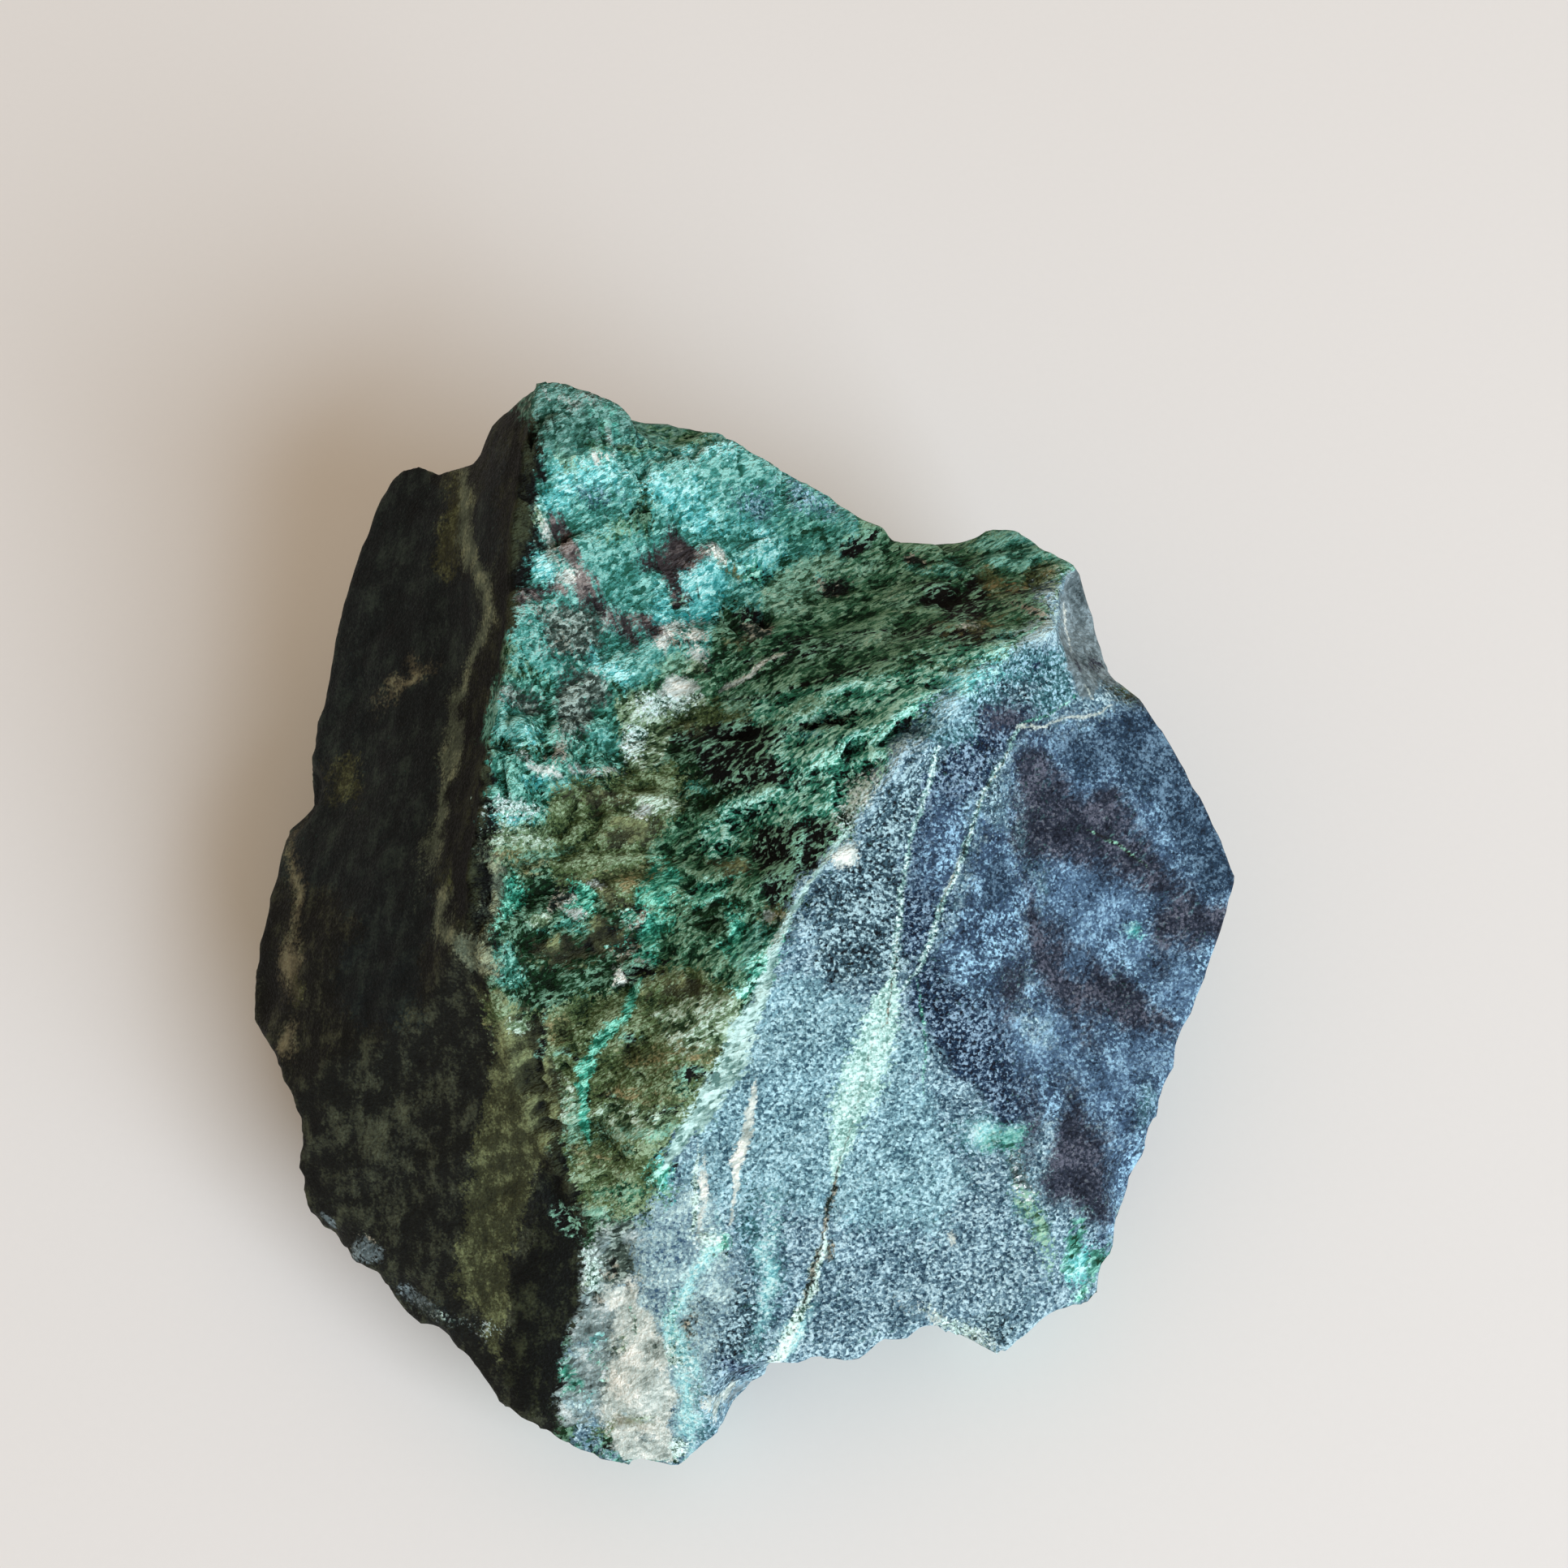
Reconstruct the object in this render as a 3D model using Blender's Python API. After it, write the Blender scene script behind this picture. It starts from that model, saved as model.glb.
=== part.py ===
"""A rough Eilat stone: one broken lump of green and blue copper rock, lying on its flat base.

The lump is what is left of a block after every break. Each break is a plane, written as a
geologist measures it: a point on it, the compass direction that it falls towards, and its dip,
0 for a level top, 90 for an upright wall and more for an overhang. The outer breaks are
intersected, the breaks that meet inside the hollow are joined, and the outline trims the rim.
An icosphere's vertices are pushed out from the middle of the lump until they meet that shape.

Lengths in the tables are millimetres. +X is right, +Y is the back and +Z is up.
"""

import math

import bmesh
import bpy
import numpy as np

MM = 0.001

# Driving dimensions: the finished stone is scaled to this box.
LENGTH_X, LENGTH_Y, HEIGHT = 47.0, 47.0, 24.0

# The point inside the lump that sees all of its surface, and how much flatter than a ball the
# rays spread, so that more of them go to the sides.
CORE = (-6.0, 5.0, 4.5)
FLATNESS = 0.8

# Outer breaks above the rim: name, point (x, y, z), direction of fall in degrees from +X
# towards +Y, and dip.
TOP_BREAKS = (
    ("blue_face_front", (4.2, -9.0, 12.9), -69, 29),
    ("blue_face_right", (17.2, 0.4, 12.1), -33, 34),
    ("pale_tip", (-4.5, -19.5, 7.8), -95, 38),
    ("low_left_slab", (-13.4, -13.6, 9.2), -131, 44),
)

# The strip under the left ridge and the slab below it meet in a groove.
LEFT_BREAKS = (
    ("left_strip", (-12.0, 11.1, 18.9), 181, 61),
    ("left_slab", (-17.5, 12.0, 13.2), 184, 40),
)

# Breaks inside the hollow, between the left ridge and the blue face: its steep left side, its
# convex right side and its humped floor. The three meet in creases.
HOLLOW_LEFT_BREAKS = (
    ("turquoise_back_wall", (-3.5, 15.8, 18.4), -36, 38),
    ("left_wall", (-9.0, 0.9, 17.4), -12, 46),
)
HOLLOW_RIGHT_BREAKS = (
    ("green_back_slope", (9.4, 15.4, 16.3), 108, 27),
    ("dark_right_wall", (1.7, -2.0, 17.1), 186, 28),
)
HOLLOW_FLOOR_BREAKS = (
    ("green_floor", (-2.0, 9.0, 15.2), 52, 7),
    ("olive_floor", (-5.0, -9.0, 13.5), -114, 20),
)

# Overhanging breaks below the rim.
UNDER_BREAKS = (
    ("back_wall", (-16.9, 23.2, 14.5), 90, 88),
    ("back_foot", (0.0, 22.9, 12.0), 93, 102),
    ("right_back_wall", (14.4, 20.0, 16.0), 52, 103),
    ("right_wall", (23.7, 3.2, 9.6), 10, 112),
    ("right_front_wall", (16.8, -16.0, 6.4), -28, 121),
    ("front_wall", (-4.3, -24.3, 5.0), -76, 118),
    ("tip_underside", (-6.1, -24.2, 5.0), -104, 122),
    ("low_left_wall", (-19.9, -13.0, 6.5), -143, 121),
    ("left_wall_underside", (-23.8, -1.7, 8.0), 178, 117),
    ("left_back_wall", (-19.2, 20.0, 12.0), 152, 108),
    ("right_foot", (17.2, 3.0, 2.6), 3, 146),
    ("front_foot", (5.0, -17.2, 2.0), -74, 148),
    ("left_foot", (-17.6, -7.0, 2.6), 196, 144),
    ("back_underside", (-4.0, 20.0, 3.0), 97, 141),
)

# The rim, seen along a line of sight that leans back from the vertical: across and up, mm.
SIGHT_LEAN = 22.0
RIM = (
    (-8.0, 29.8), (-4.7, 28.6), (-1.1, 28.1), (1.7, 26.3), (4.0, 25.4), (5.7, 24.2),
    (7.3, 23.6), (8.9, 23.4), (10.5, 23.5), (12.1, 23.9), (13.1, 23.7), (14.3, 22.9),
    (16.1, 21.5), (17.6, 16.3), (18.7, 15.5), (21.8, 10.8), (23.0, 8.4), (23.5, 6.9),
    (23.3, 5.6), (22.3, 3.0), (17.9, -7.2), (16.4, -12.3), (13.9, -13.3), (11.6, -14.8),
    (8.8, -13.5), (7.2, -13.8), (4.6, -14.8), (3.2, -14.6), (1.4, -14.9), (-1.7, -19.0),
    (-2.4, -19.6), (-4.3, -19.9), (-6.1, -19.7), (-7.0, -19.4), (-11.0, -17.1),
    (-13.0, -14.5), (-14.0, -13.8), (-15.2, -13.7), (-16.4, -12.4), (-16.9, -11.4),
    (-18.4, -10.7), (-19.7, -9.5), (-20.8, -8.0), (-21.2, -6.6), (-21.0, -4.9), (-21.2, -3.0),
    (-22.2, -1.3), (-23.5, 0.1), (-23.6, 1.4), (-22.5, 9.1), (-21.4, 10.3), (-21.5, 11.1),
    (-21.1, 14.0), (-19.8, 20.3), (-18.1, 25.6), (-16.9, 27.2), (-16.0, 27.1), (-14.9, 26.5),
    (-13.0, 26.7), (-12.1, 27.2), (-9.6, 29.7),
)

# Scoops where chips have flown off: name, middle of the ball that fits the scoop, radius.
CHIPS = (
    ("grey_chip", (20.5, 13.8, 20.3), 7.0),
    ("right_corner_chip", (20.0, -11.1, 9.3), 3.2),
    ("front_edge_chip", (10.4, -19.5, 8.6), 3.0),
    ("tip_side_chip", (1.5, -21.7, 7.6), 3.0),
    ("low_left_chip", (-20.0, -14.4, 7.7), 2.6),
    ("lower_left_chip", (-16.6, -17.5, 7.4), 2.6),
    ("left_point_chip", (-24.9, -2.6, 9.8), 3.4),
    ("left_nick", (-22.7, 7.7, 9.8), 2.4),
    ("back_notch_chip", (8.7, 21.8, 15.0), 3.6),
    ("back_ledge_chip", (-2.8, 24.5, 22.5), 4.0),
)

# Set the rim out by this much, to make up for the rounding of its edge.
RIM_ALLOWANCE = 0.15

# Rounding where breaks meet: ridges are crisp, the creases of the hollow softer.
RIDGE_ROUNDING = 0.7
CREASE_ROUNDING = 2.2

# Slow waves that bend every break: wavelength and height, for wandering edges.
BEND_LENGTH, BEND_HEIGHT = 9.0, 0.7
# Ledges that run along one direction: its angle from +X, their length and spacing, and their
# height in the hollow. The faces around it have lower ones.
LEDGE_ANGLE, LEDGE_LENGTH, LEDGE_SPACING, LEDGE_HEIGHT = 24.0, 5.2, 2.3, 0.85
FACE_SHARE, WALL_SHARE = 0.25, 1.3
# The walls below the rim reach their full roughness this far down, carved in by up to CARVE.
WALL_DEPTH, CARVE = 2.5, 1.6

TRIANGLES = 9400
FINE_ICOSPHERE = 7
NEAR, FAR, HALVINGS = 0.0, 60.0, 26
# Points this close to the base are exactly on it.
BASE_SNAP = 0.001


def lattice_value(cell, seed):
    """A fixed pseudo-random number from -1 to 1 for each whole-number cell."""
    mixed = cell[:, 0] * 374761393 + cell[:, 1] * 668265263 + cell[:, 2] * 1440662683
    mixed = (mixed + seed * 982451653) & 0xFFFFFFFF
    mixed = ((mixed ^ (mixed >> 13)) * 1274126177) & 0xFFFFFFFF
    return ((mixed ^ (mixed >> 16)) & 0xFFFF) / 32767.5 - 1.0


def noise(points, seed):
    """Smooth noise from -1 to 1: the eight corners of each point's cell, blended."""
    cell = np.floor(points).astype(np.int64)
    part = points - cell
    weight = part * part * (3.0 - 2.0 * part)
    total = np.zeros(len(points))
    for corner in range(8):
        step = np.array([corner & 1, corner >> 1 & 1, corner >> 2 & 1])
        share = np.where(step, weight, 1.0 - weight).prod(axis=1)
        total += share * lattice_value(cell + step, seed)
    return total


def fall_normals(breaks):
    """Outward unit normals from the breaks' directions of fall and dips."""
    direction = np.radians([fall for _, _, fall, _ in breaks])
    dip = np.radians([angle for _, _, _, angle in breaks])
    level = np.sin(dip)
    return np.stack([level * np.cos(direction), level * np.sin(direction), np.cos(dip)], 1)


def heights_above(points, breaks):
    """How far each point lies outside each break: one row for a point, one column a break."""
    normals = fall_normals(breaks)
    anchors = np.array([point for _, point, _, _ in breaks])
    return points @ normals.T - (anchors * normals).sum(axis=1)


def smooth_min(a, b, rounding):
    """The lower of two heights, with the corner between them rounded."""
    near = np.clip(rounding - np.abs(a - b), 0.0, None) / rounding
    return np.minimum(a, b) - near * near * rounding / 4.0


def join(heights, rounding):
    """The union of breaks: inside any of them is inside."""
    joined = heights[:, 0]
    for column in heights.T[1:]:
        joined = smooth_min(joined, column, rounding)
    return joined


def intersect(heights, rounding):
    """The intersection of breaks: inside all of them is inside."""
    return -join(-heights, rounding)


def outside_rim(points):
    """How far each point lies outside the rim, measured across the line of sight."""
    lean = math.radians(SIGHT_LEAN)
    across = points[:, 0]
    up = points[:, 1] * math.cos(lean) + points[:, 2] * math.sin(lean)
    middle = np.array([CORE[0], CORE[1] * math.cos(lean) + CORE[2] * math.sin(lean)])
    corners = np.array(RIM) - middle
    corners = corners[np.argsort(np.arctan2(corners[:, 1], corners[:, 0]))]
    angles = np.arctan2(corners[:, 1], corners[:, 0])
    x, y = across - middle[0], up - middle[1]
    angle = np.arctan2(y, x)
    after = np.searchsorted(angles, angle) % len(corners)
    start, end = corners[after - 1], corners[after]
    edge = end - start
    reach = (start[:, 0] * edge[:, 1] - start[:, 1] * edge[:, 0]) / (
        np.cos(angle) * edge[:, 1] - np.sin(angle) * edge[:, 0]
    )
    return np.hypot(x, y) - reach - RIM_ALLOWANCE


def height_over_hollow(points):
    """How far each point lies above the breaks inside the hollow."""
    left = join(heights_above(points, HOLLOW_LEFT_BREAKS), CREASE_ROUNDING)
    right = intersect(heights_above(points, HOLLOW_RIGHT_BREAKS), CREASE_ROUNDING)
    floor = intersect(heights_above(points, HOLLOW_FLOOR_BREAKS), CREASE_ROUNDING)
    return join(np.column_stack([left, right, floor]), CREASE_ROUNDING)


def depth_in_chips(points):
    """How deep each point lies inside a scoop, the deepest of them."""
    depths = [radius - np.linalg.norm(points - middle, axis=1) for _, middle, radius in CHIPS]
    return np.max(depths, axis=0)


def height_above_top(points):
    """How far each point lies above everything that is seen from above."""
    left = join(heights_above(points, LEFT_BREAKS), RIDGE_ROUNDING)
    top = heights_above(points, TOP_BREAKS)
    faces = np.column_stack([top, left, height_over_hollow(points), depth_in_chips(points)])
    return intersect(faces, RIDGE_ROUNDING)


def down_the_wall(height):
    """0 at the top and the rim, 1 from WALL_DEPTH below it."""
    return np.clip(-height / WALL_DEPTH, 0.0, 1.0)


def height_outside(points, bend=0.0, raised=0.0, carved=0.0):
    """Above 0 outside the stone, below 0 inside, in millimetres near its surface. The bend moves
    where the breaks are looked up, raised is how far the surface stands out from them, and
    carved is how far the wall under the rim is set back."""
    bent = points + bend
    top = height_above_top(bent)
    under = intersect(heights_above(bent, UNDER_BREAKS), RIDGE_ROUNDING)
    wall = outside_rim(points) + carved * down_the_wall(top)
    stone = intersect(np.column_stack([top - raised, under - raised, wall]), RIDGE_ROUNDING)
    return np.maximum(stone, -points[:, 2])


def cast_out(directions, *relief):
    """The surface point along each direction from the core, by halving an interval."""
    core = np.array(CORE)
    near = np.full(len(directions), NEAR)
    far = np.full(len(directions), FAR)
    for _ in range(HALVINGS):
        middle = (near + far) / 2.0
        inside = height_outside(core + directions * middle[:, None], *relief) < 0
        near = np.where(inside, middle, near)
        far = np.where(inside, far, middle)
    return core + directions * near[:, None]


def waves(points):
    """The slow waves, one in each direction."""
    at = points / BEND_LENGTH
    return BEND_HEIGHT * np.stack([noise(at, seed) for seed in (1, 2, 3)], axis=1)


def ledge_noise(points):
    """Noise from about -1 to 1, stretched along the ledges."""
    angle = math.radians(LEDGE_ANGLE)
    along = points[:, 0] * math.cos(angle) + points[:, 1] * math.sin(angle)
    across = points[:, 1] * math.cos(angle) - points[:, 0] * math.sin(angle)
    at = np.stack([along / LEDGE_LENGTH, across / LEDGE_SPACING, points[:, 2] / LEDGE_SPACING])
    return (noise(at.T, 4) + 0.5 * noise(at.T * 2.1, 5)) / 1.5


def stone_points(directions):
    """The surface point met along each direction: first with plain breaks, then with relief."""
    directions = directions / np.linalg.norm(directions, axis=1)[:, None]
    first = cast_out(directions)
    ledge = ledge_noise(first)
    in_hollow = np.clip(1.0 - np.abs(height_over_hollow(first)), FACE_SHARE, 1.0)
    on_wall = down_the_wall(height_above_top(first))
    raised = LEDGE_HEIGHT * np.maximum(in_hollow, WALL_SHARE * on_wall) * ledge
    carved = CARVE * (0.5 + 0.5 * ledge)
    points = cast_out(directions, waves(first), raised, carved)
    points[:, 2] = np.where(points[:, 2] < BASE_SNAP, 0.0, points[:, 2])
    return points


def fitted(points):
    """The points moved and scaled so that the stone fills its box and stands on z = 0."""
    low, high = points.min(axis=0), points.max(axis=0)
    size = np.array([LENGTH_X, LENGTH_Y, HEIGHT])
    centre = np.array([(low[0] + high[0]) / 2, (low[1] + high[1]) / 2, low[2]])
    return (points - centre) * size / (high - low)


def rock_material():
    """Matt green-blue copper rock."""
    material = bpy.data.materials.new("eilat_rock")
    material.use_nodes = True
    shader = material.node_tree.nodes["Principled BSDF"]
    shader.inputs["Base Color"].default_value = (0.06, 0.16, 0.17, 1.0)
    shader.inputs["Roughness"].default_value = 0.8
    shader.inputs["Metallic"].default_value = 0.0
    return material


def make_stone():
    """The whole stone, one solid: an icosphere pushed out to the breaks, then thinned out."""
    mesh = bpy.data.meshes.new("stone")
    shape = bmesh.new()
    bmesh.ops.create_icosphere(shape, subdivisions=FINE_ICOSPHERE, radius=1.0)
    shape.to_mesh(mesh)
    shape.free()
    flat = np.empty(len(mesh.vertices) * 3, dtype=np.float32)
    mesh.vertices.foreach_get("co", flat)
    directions = flat.reshape(-1, 3).astype(float) * (1.0, 1.0, FLATNESS)
    points = fitted(stone_points(directions)) * MM
    mesh.vertices.foreach_set("co", points.astype(np.float32).ravel())
    mesh.materials.append(rock_material())
    stone = bpy.data.objects.new("stone", mesh)
    thin_out = stone.modifiers.new("thin_out", "DECIMATE")
    thin_out.ratio = TRIANGLES / len(mesh.polygons)
    return stone


def main():
    for old in list(bpy.data.objects):
        bpy.data.objects.remove(old, do_unlink=True)
    collection = bpy.data.collections.new("rough_eilat_stone")
    bpy.context.scene.collection.children.link(collection)
    collection.objects.link(make_stone())


main()
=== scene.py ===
"""The rough Eilat stone, dressed: one broken lump of green and blue copper rock.

Run by Blender 4.5 after the part is packed. Every cell is one step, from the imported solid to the
finished rock on a pale floor. Lengths in the tables are millimetres, +X is right, +Y is the back
and +Z is up; Blender's own lengths are metres.
"""

# %% [markdown]
# # A rough Eilat stone
#
# Eilat stone is a copper ore: malachite, turquoise, azurite and chrysocolla grown through each
# other in one rock. This piece was broken off, not cut, so it has flat breaks, a crumbly hollow
# and thin edges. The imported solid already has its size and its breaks, so the finished rock is
# fitted to that solid's box. Shape and colour are both worked out by formulas, so crystals and
# veins stay sharp however close the view is.

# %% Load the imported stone
import math

import bpy
import numpy as np
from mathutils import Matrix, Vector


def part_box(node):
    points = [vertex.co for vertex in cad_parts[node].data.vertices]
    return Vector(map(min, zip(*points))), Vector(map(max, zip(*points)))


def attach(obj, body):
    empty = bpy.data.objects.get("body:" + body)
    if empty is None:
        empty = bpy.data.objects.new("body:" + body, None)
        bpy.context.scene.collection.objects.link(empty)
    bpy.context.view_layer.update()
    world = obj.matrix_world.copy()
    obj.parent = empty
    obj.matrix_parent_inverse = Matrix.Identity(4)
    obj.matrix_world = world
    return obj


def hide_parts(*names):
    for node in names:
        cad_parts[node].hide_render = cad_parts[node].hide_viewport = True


MM = 0.001
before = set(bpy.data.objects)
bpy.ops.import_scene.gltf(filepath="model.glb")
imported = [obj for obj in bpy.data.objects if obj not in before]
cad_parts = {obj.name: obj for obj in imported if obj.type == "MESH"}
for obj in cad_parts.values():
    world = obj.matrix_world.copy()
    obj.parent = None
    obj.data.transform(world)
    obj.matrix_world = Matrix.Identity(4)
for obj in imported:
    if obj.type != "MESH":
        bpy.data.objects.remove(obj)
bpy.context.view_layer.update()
box_low, box_high = [np.array(corner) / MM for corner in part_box("stone")]
print("packed stone, mm:", box_low.round(2), box_high.round(2))

# %% [markdown]
# ## Camera
#
# A small stone on a table is looked down on, so the camera leans back only 22 degrees from
# straight above. It is placed by a turn, a height angle and a distance from the point that it
# looks at. That is easier to read than a position and three rotations, and gives the same thing.

# %% Camera
VIEW_TURN, VIEW_HEIGHT = 0.0, 68.0
VIEW_DISTANCE = 0.115
VIEW_TARGET = np.array([0.0019, 0.00735, 0.012])
SENSOR, LENS, NEAREST = 36.0, 54.95, 0.005


def add_camera():
    """The camera lies at the target plus the distance along the direction that the two angles give."""
    camera = bpy.data.objects.new("camera", bpy.data.cameras.new("camera"))
    turn, height = math.radians(VIEW_TURN), math.radians(VIEW_HEIGHT)
    away = np.array([
        math.sin(turn) * math.cos(height), -math.cos(turn) * math.cos(height), math.sin(height),
    ])
    camera.location = VIEW_TARGET + VIEW_DISTANCE * away
    camera.rotation_euler = (math.pi / 2 - height, 0.0, turn)
    camera.data.lens, camera.data.sensor_width = LENS, SENSOR
    camera.data.clip_start = NEAREST
    bpy.context.scene.collection.objects.link(camera)
    bpy.context.scene.camera = camera
    return camera


print("camera at", tuple(round(value, 4) for value in add_camera().location))

# %% [markdown]
# ## Light
#
# The stone lies in a room near a window: cool daylight comes in low from the front right, and
# warm light from the walls fills the shadows evenly. A sun lamp would give hard shadow edges, so
# the window is an area light. The Standard view keeps the copper colours as strong as they are.

# %% Window, room light and view
WINDOW_FROM = np.array([0.61, -0.63, 0.47])
WINDOW_DISTANCE, WINDOW_SIZE, WINDOW_POWER = 0.90, 0.66, 10.4
WINDOW_COLOR = (0.82, 1.0, 1.17)
ROOM_COLOR, ROOM_STRENGTH = (1.0, 0.83, 0.64), 0.54


def add_window():
    """An area light that faces the stone from WINDOW_DISTANCE away."""
    lamp = bpy.data.lights.new("window", "AREA")
    lamp.shape, lamp.size = "SQUARE", WINDOW_SIZE
    lamp.energy, lamp.color = WINDOW_POWER, WINDOW_COLOR
    window = bpy.data.objects.new("window", lamp)
    away = WINDOW_FROM / np.linalg.norm(WINDOW_FROM)
    window.location = VIEW_TARGET + WINDOW_DISTANCE * away
    window.rotation_euler = (math.acos(away[2]), 0.0, math.atan2(away[1], away[0]) + math.pi / 2)
    bpy.context.scene.collection.objects.link(window)


def set_room():
    """The same warm light from every direction."""
    room = bpy.data.worlds.new("room")
    room.use_nodes = True
    background = room.node_tree.nodes["Background"]
    background.inputs["Color"].default_value = (*ROOM_COLOR, 1.0)
    background.inputs["Strength"].default_value = ROOM_STRENGTH
    bpy.context.scene.world = room


add_window()
set_room()
bpy.context.scene.view_settings.view_transform = "Standard"
print("one window and the room around it")

# %% [markdown]
# ## Noise
#
# Broken rock is rough at every size, and its minerals wander. Both come from value noise: each
# corner of a grid of cells has a fixed random number, and a point takes a smooth blend of the
# eight corners around it. Blender has noise too, but this one is worked out for all points at
# once and is the same in the part's own script, so ledges land in the same places.


# %% Noise, soft steps and turned places
def lattice_value(cell, seed):
    """A fixed pseudo-random number from -1 to 1 for each whole-number cell: large multipliers
    and shifts scatter its bits."""
    mixed = cell[:, 0] * 374761393 + cell[:, 1] * 668265263 + cell[:, 2] * 1440662683
    mixed = (mixed + seed * 982451653) & 0xFFFFFFFF
    mixed = ((mixed ^ (mixed >> 13)) * 1274126177) & 0xFFFFFFFF
    return ((mixed ^ (mixed >> 16)) & 0xFFFF) / 32767.5 - 1.0


def noise(points, seed):
    """Smooth noise from -1 to 1: the eight corners of each point's cell, blended. Another seed
    gives another noise."""
    cell = np.floor(points).astype(np.int64)
    part = points - cell
    weight = part * part * (3.0 - 2.0 * part)
    total = np.zeros(len(points))
    for corner in range(8):
        step = np.array([corner & 1, corner >> 1 & 1, corner >> 2 & 1])
        share = np.where(step, weight, 1.0 - weight).prod(axis=1)
        total += share * lattice_value(cell + step, seed)
    return total


def soft_step(value, start, end):
    """0 before the start, 1 after the end, and an S-curve between."""
    share = np.clip((value - start) / (end - start), 0.0, 1.0)
    return share * share * (3.0 - 2.0 * share)


def turned(x, y, angle):
    """How far each place lies along a direction, angle degrees from +X, and across it."""
    turn = math.radians(angle)
    return x * math.cos(turn) + y * math.sin(turn), y * math.cos(turn) - x * math.sin(turn)


print("noise of four points:", noise(np.arange(12.0).reshape(4, 3) * 0.37, 1).round(2))

# %% [markdown]
# ## The breaks
#
# The lump is what is left of a block after every break. A break is a plane, written as a
# geologist measures it: a point on it, the compass direction that it falls towards, and its dip.
# The outer breaks are intersected, the three parts of the hollow are joined, and the outline
# trims the rim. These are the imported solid's own numbers, so the two shapes agree, except where
# this finer mesh can hold more: the ridges are rounded half as much, and the rim is drawn closer
# at its peak, at its left bay, at the left nick and at the back foot.

# %% Tables of breaks, rim and chips
# The point inside the lump that sees all of its surface, and how much flatter than a ball the
# rays spread, so that more of them go to the sides.
CORE = (-6.0, 5.0, 4.5)
FLATNESS = 0.8

# Outer breaks above the rim: name, point (x, y, z), direction of fall in degrees from +X
# towards +Y, and dip.
TOP_BREAKS = (
    ("blue_face_front", (4.2, -9.0, 12.9), -69, 29),
    ("blue_face_right", (17.2, 0.4, 12.1), -33, 34),
    ("pale_tip", (-4.5, -19.5, 7.8), -95, 38),
    ("low_left_slab", (-13.4, -13.6, 9.2), -131, 44),
)

# The strip under the left ridge and the slab below it meet in a groove.
LEFT_BREAKS = (
    ("left_strip", (-12.0, 11.1, 18.9), 181, 61),
    ("left_slab", (-17.5, 12.0, 13.2), 184, 40),
)

# Breaks inside the hollow, between the left ridge and the blue face: its steep left side, its
# convex right side and its humped floor. The three meet in creases.
HOLLOW_LEFT_BREAKS = (
    ("turquoise_back_wall", (-3.5, 15.8, 18.4), -36, 38),
    ("left_wall", (-9.0, 0.9, 17.4), -12, 46),
)
HOLLOW_RIGHT_BREAKS = (
    ("green_back_slope", (9.4, 15.4, 16.3), 108, 27),
    ("dark_right_wall", (1.7, -2.0, 17.1), 186, 28),
)
HOLLOW_FLOOR_BREAKS = (
    ("green_floor", (-2.0, 9.0, 15.2), 52, 7),
    ("olive_floor", (-5.0, -9.0, 13.5), -114, 20),
)

# Steep and overhanging breaks below the rim.
UNDER_BREAKS = (
    ("back_wall", (-16.9, 23.2, 14.5), 90, 88),
    ("back_foot", (0.0, 23.5, 12.0), 93, 102),
    ("right_back_wall", (14.4, 20.0, 16.0), 52, 103),
    ("right_wall", (23.7, 3.2, 9.6), 10, 112),
    ("right_front_wall", (16.8, -16.0, 6.4), -28, 121),
    ("front_wall", (-4.3, -24.3, 5.0), -76, 118),
    ("tip_underside", (-6.1, -24.2, 5.0), -104, 122),
    ("low_left_wall", (-19.9, -13.0, 6.5), -143, 121),
    ("left_wall_underside", (-23.8, -1.7, 8.0), 178, 117),
    ("left_back_wall", (-19.2, 20.0, 12.0), 152, 108),
    ("right_foot", (17.2, 3.0, 2.6), 3, 146),
    ("front_foot", (5.0, -17.2, 2.0), -74, 148),
    ("left_foot", (-17.6, -7.0, 2.6), 196, 144),
    ("back_underside", (-4.0, 20.0, 3.0), 97, 141),
)

# The rim, seen along a line of sight that leans back from the vertical: across and up, mm.
SIGHT_LEAN = 22.0
RIM = (
    (-8.0, 29.55), (-4.7, 28.6), (-1.1, 28.1), (1.7, 26.3), (4.0, 25.4), (5.7, 24.2),
    (7.3, 23.6), (8.9, 23.4), (10.5, 23.5), (12.1, 23.9), (13.1, 23.7), (14.3, 22.9),
    (16.1, 21.5), (17.6, 16.3), (18.7, 15.5), (21.8, 10.8), (23.0, 8.4), (23.5, 6.9),
    (23.3, 5.6), (22.3, 3.0), (17.9, -7.2), (16.4, -12.3), (13.9, -13.3), (11.6, -14.8),
    (8.8, -13.5), (7.2, -13.8), (4.6, -14.8), (3.2, -14.6), (1.4, -14.9), (-1.7, -19.0),
    (-2.4, -19.6), (-4.3, -19.9), (-6.1, -19.7), (-7.0, -19.4), (-11.0, -17.1),
    (-13.0, -14.5), (-14.0, -13.8), (-15.2, -13.7), (-16.4, -12.4), (-16.9, -11.4),
    (-18.4, -10.7), (-19.7, -9.5), (-20.5, -8.1), (-20.7, -6.6), (-20.5, -4.9), (-20.9, -3.0),
    (-22.2, -1.3), (-23.5, 0.1), (-23.6, 1.4), (-22.5, 9.1), (-21.4, 10.3), (-21.5, 11.1),
    (-21.1, 14.0), (-19.8, 20.3), (-18.1, 25.6), (-16.9, 27.2), (-16.0, 27.1), (-14.9, 26.5),
    (-13.0, 26.8), (-12.6, 27.1), (-12.3, 27.8), (-11.8, 28.5),
    (-11.3, 29.0), (-10.6, 29.3), (-9.7, 29.55),
)

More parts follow.
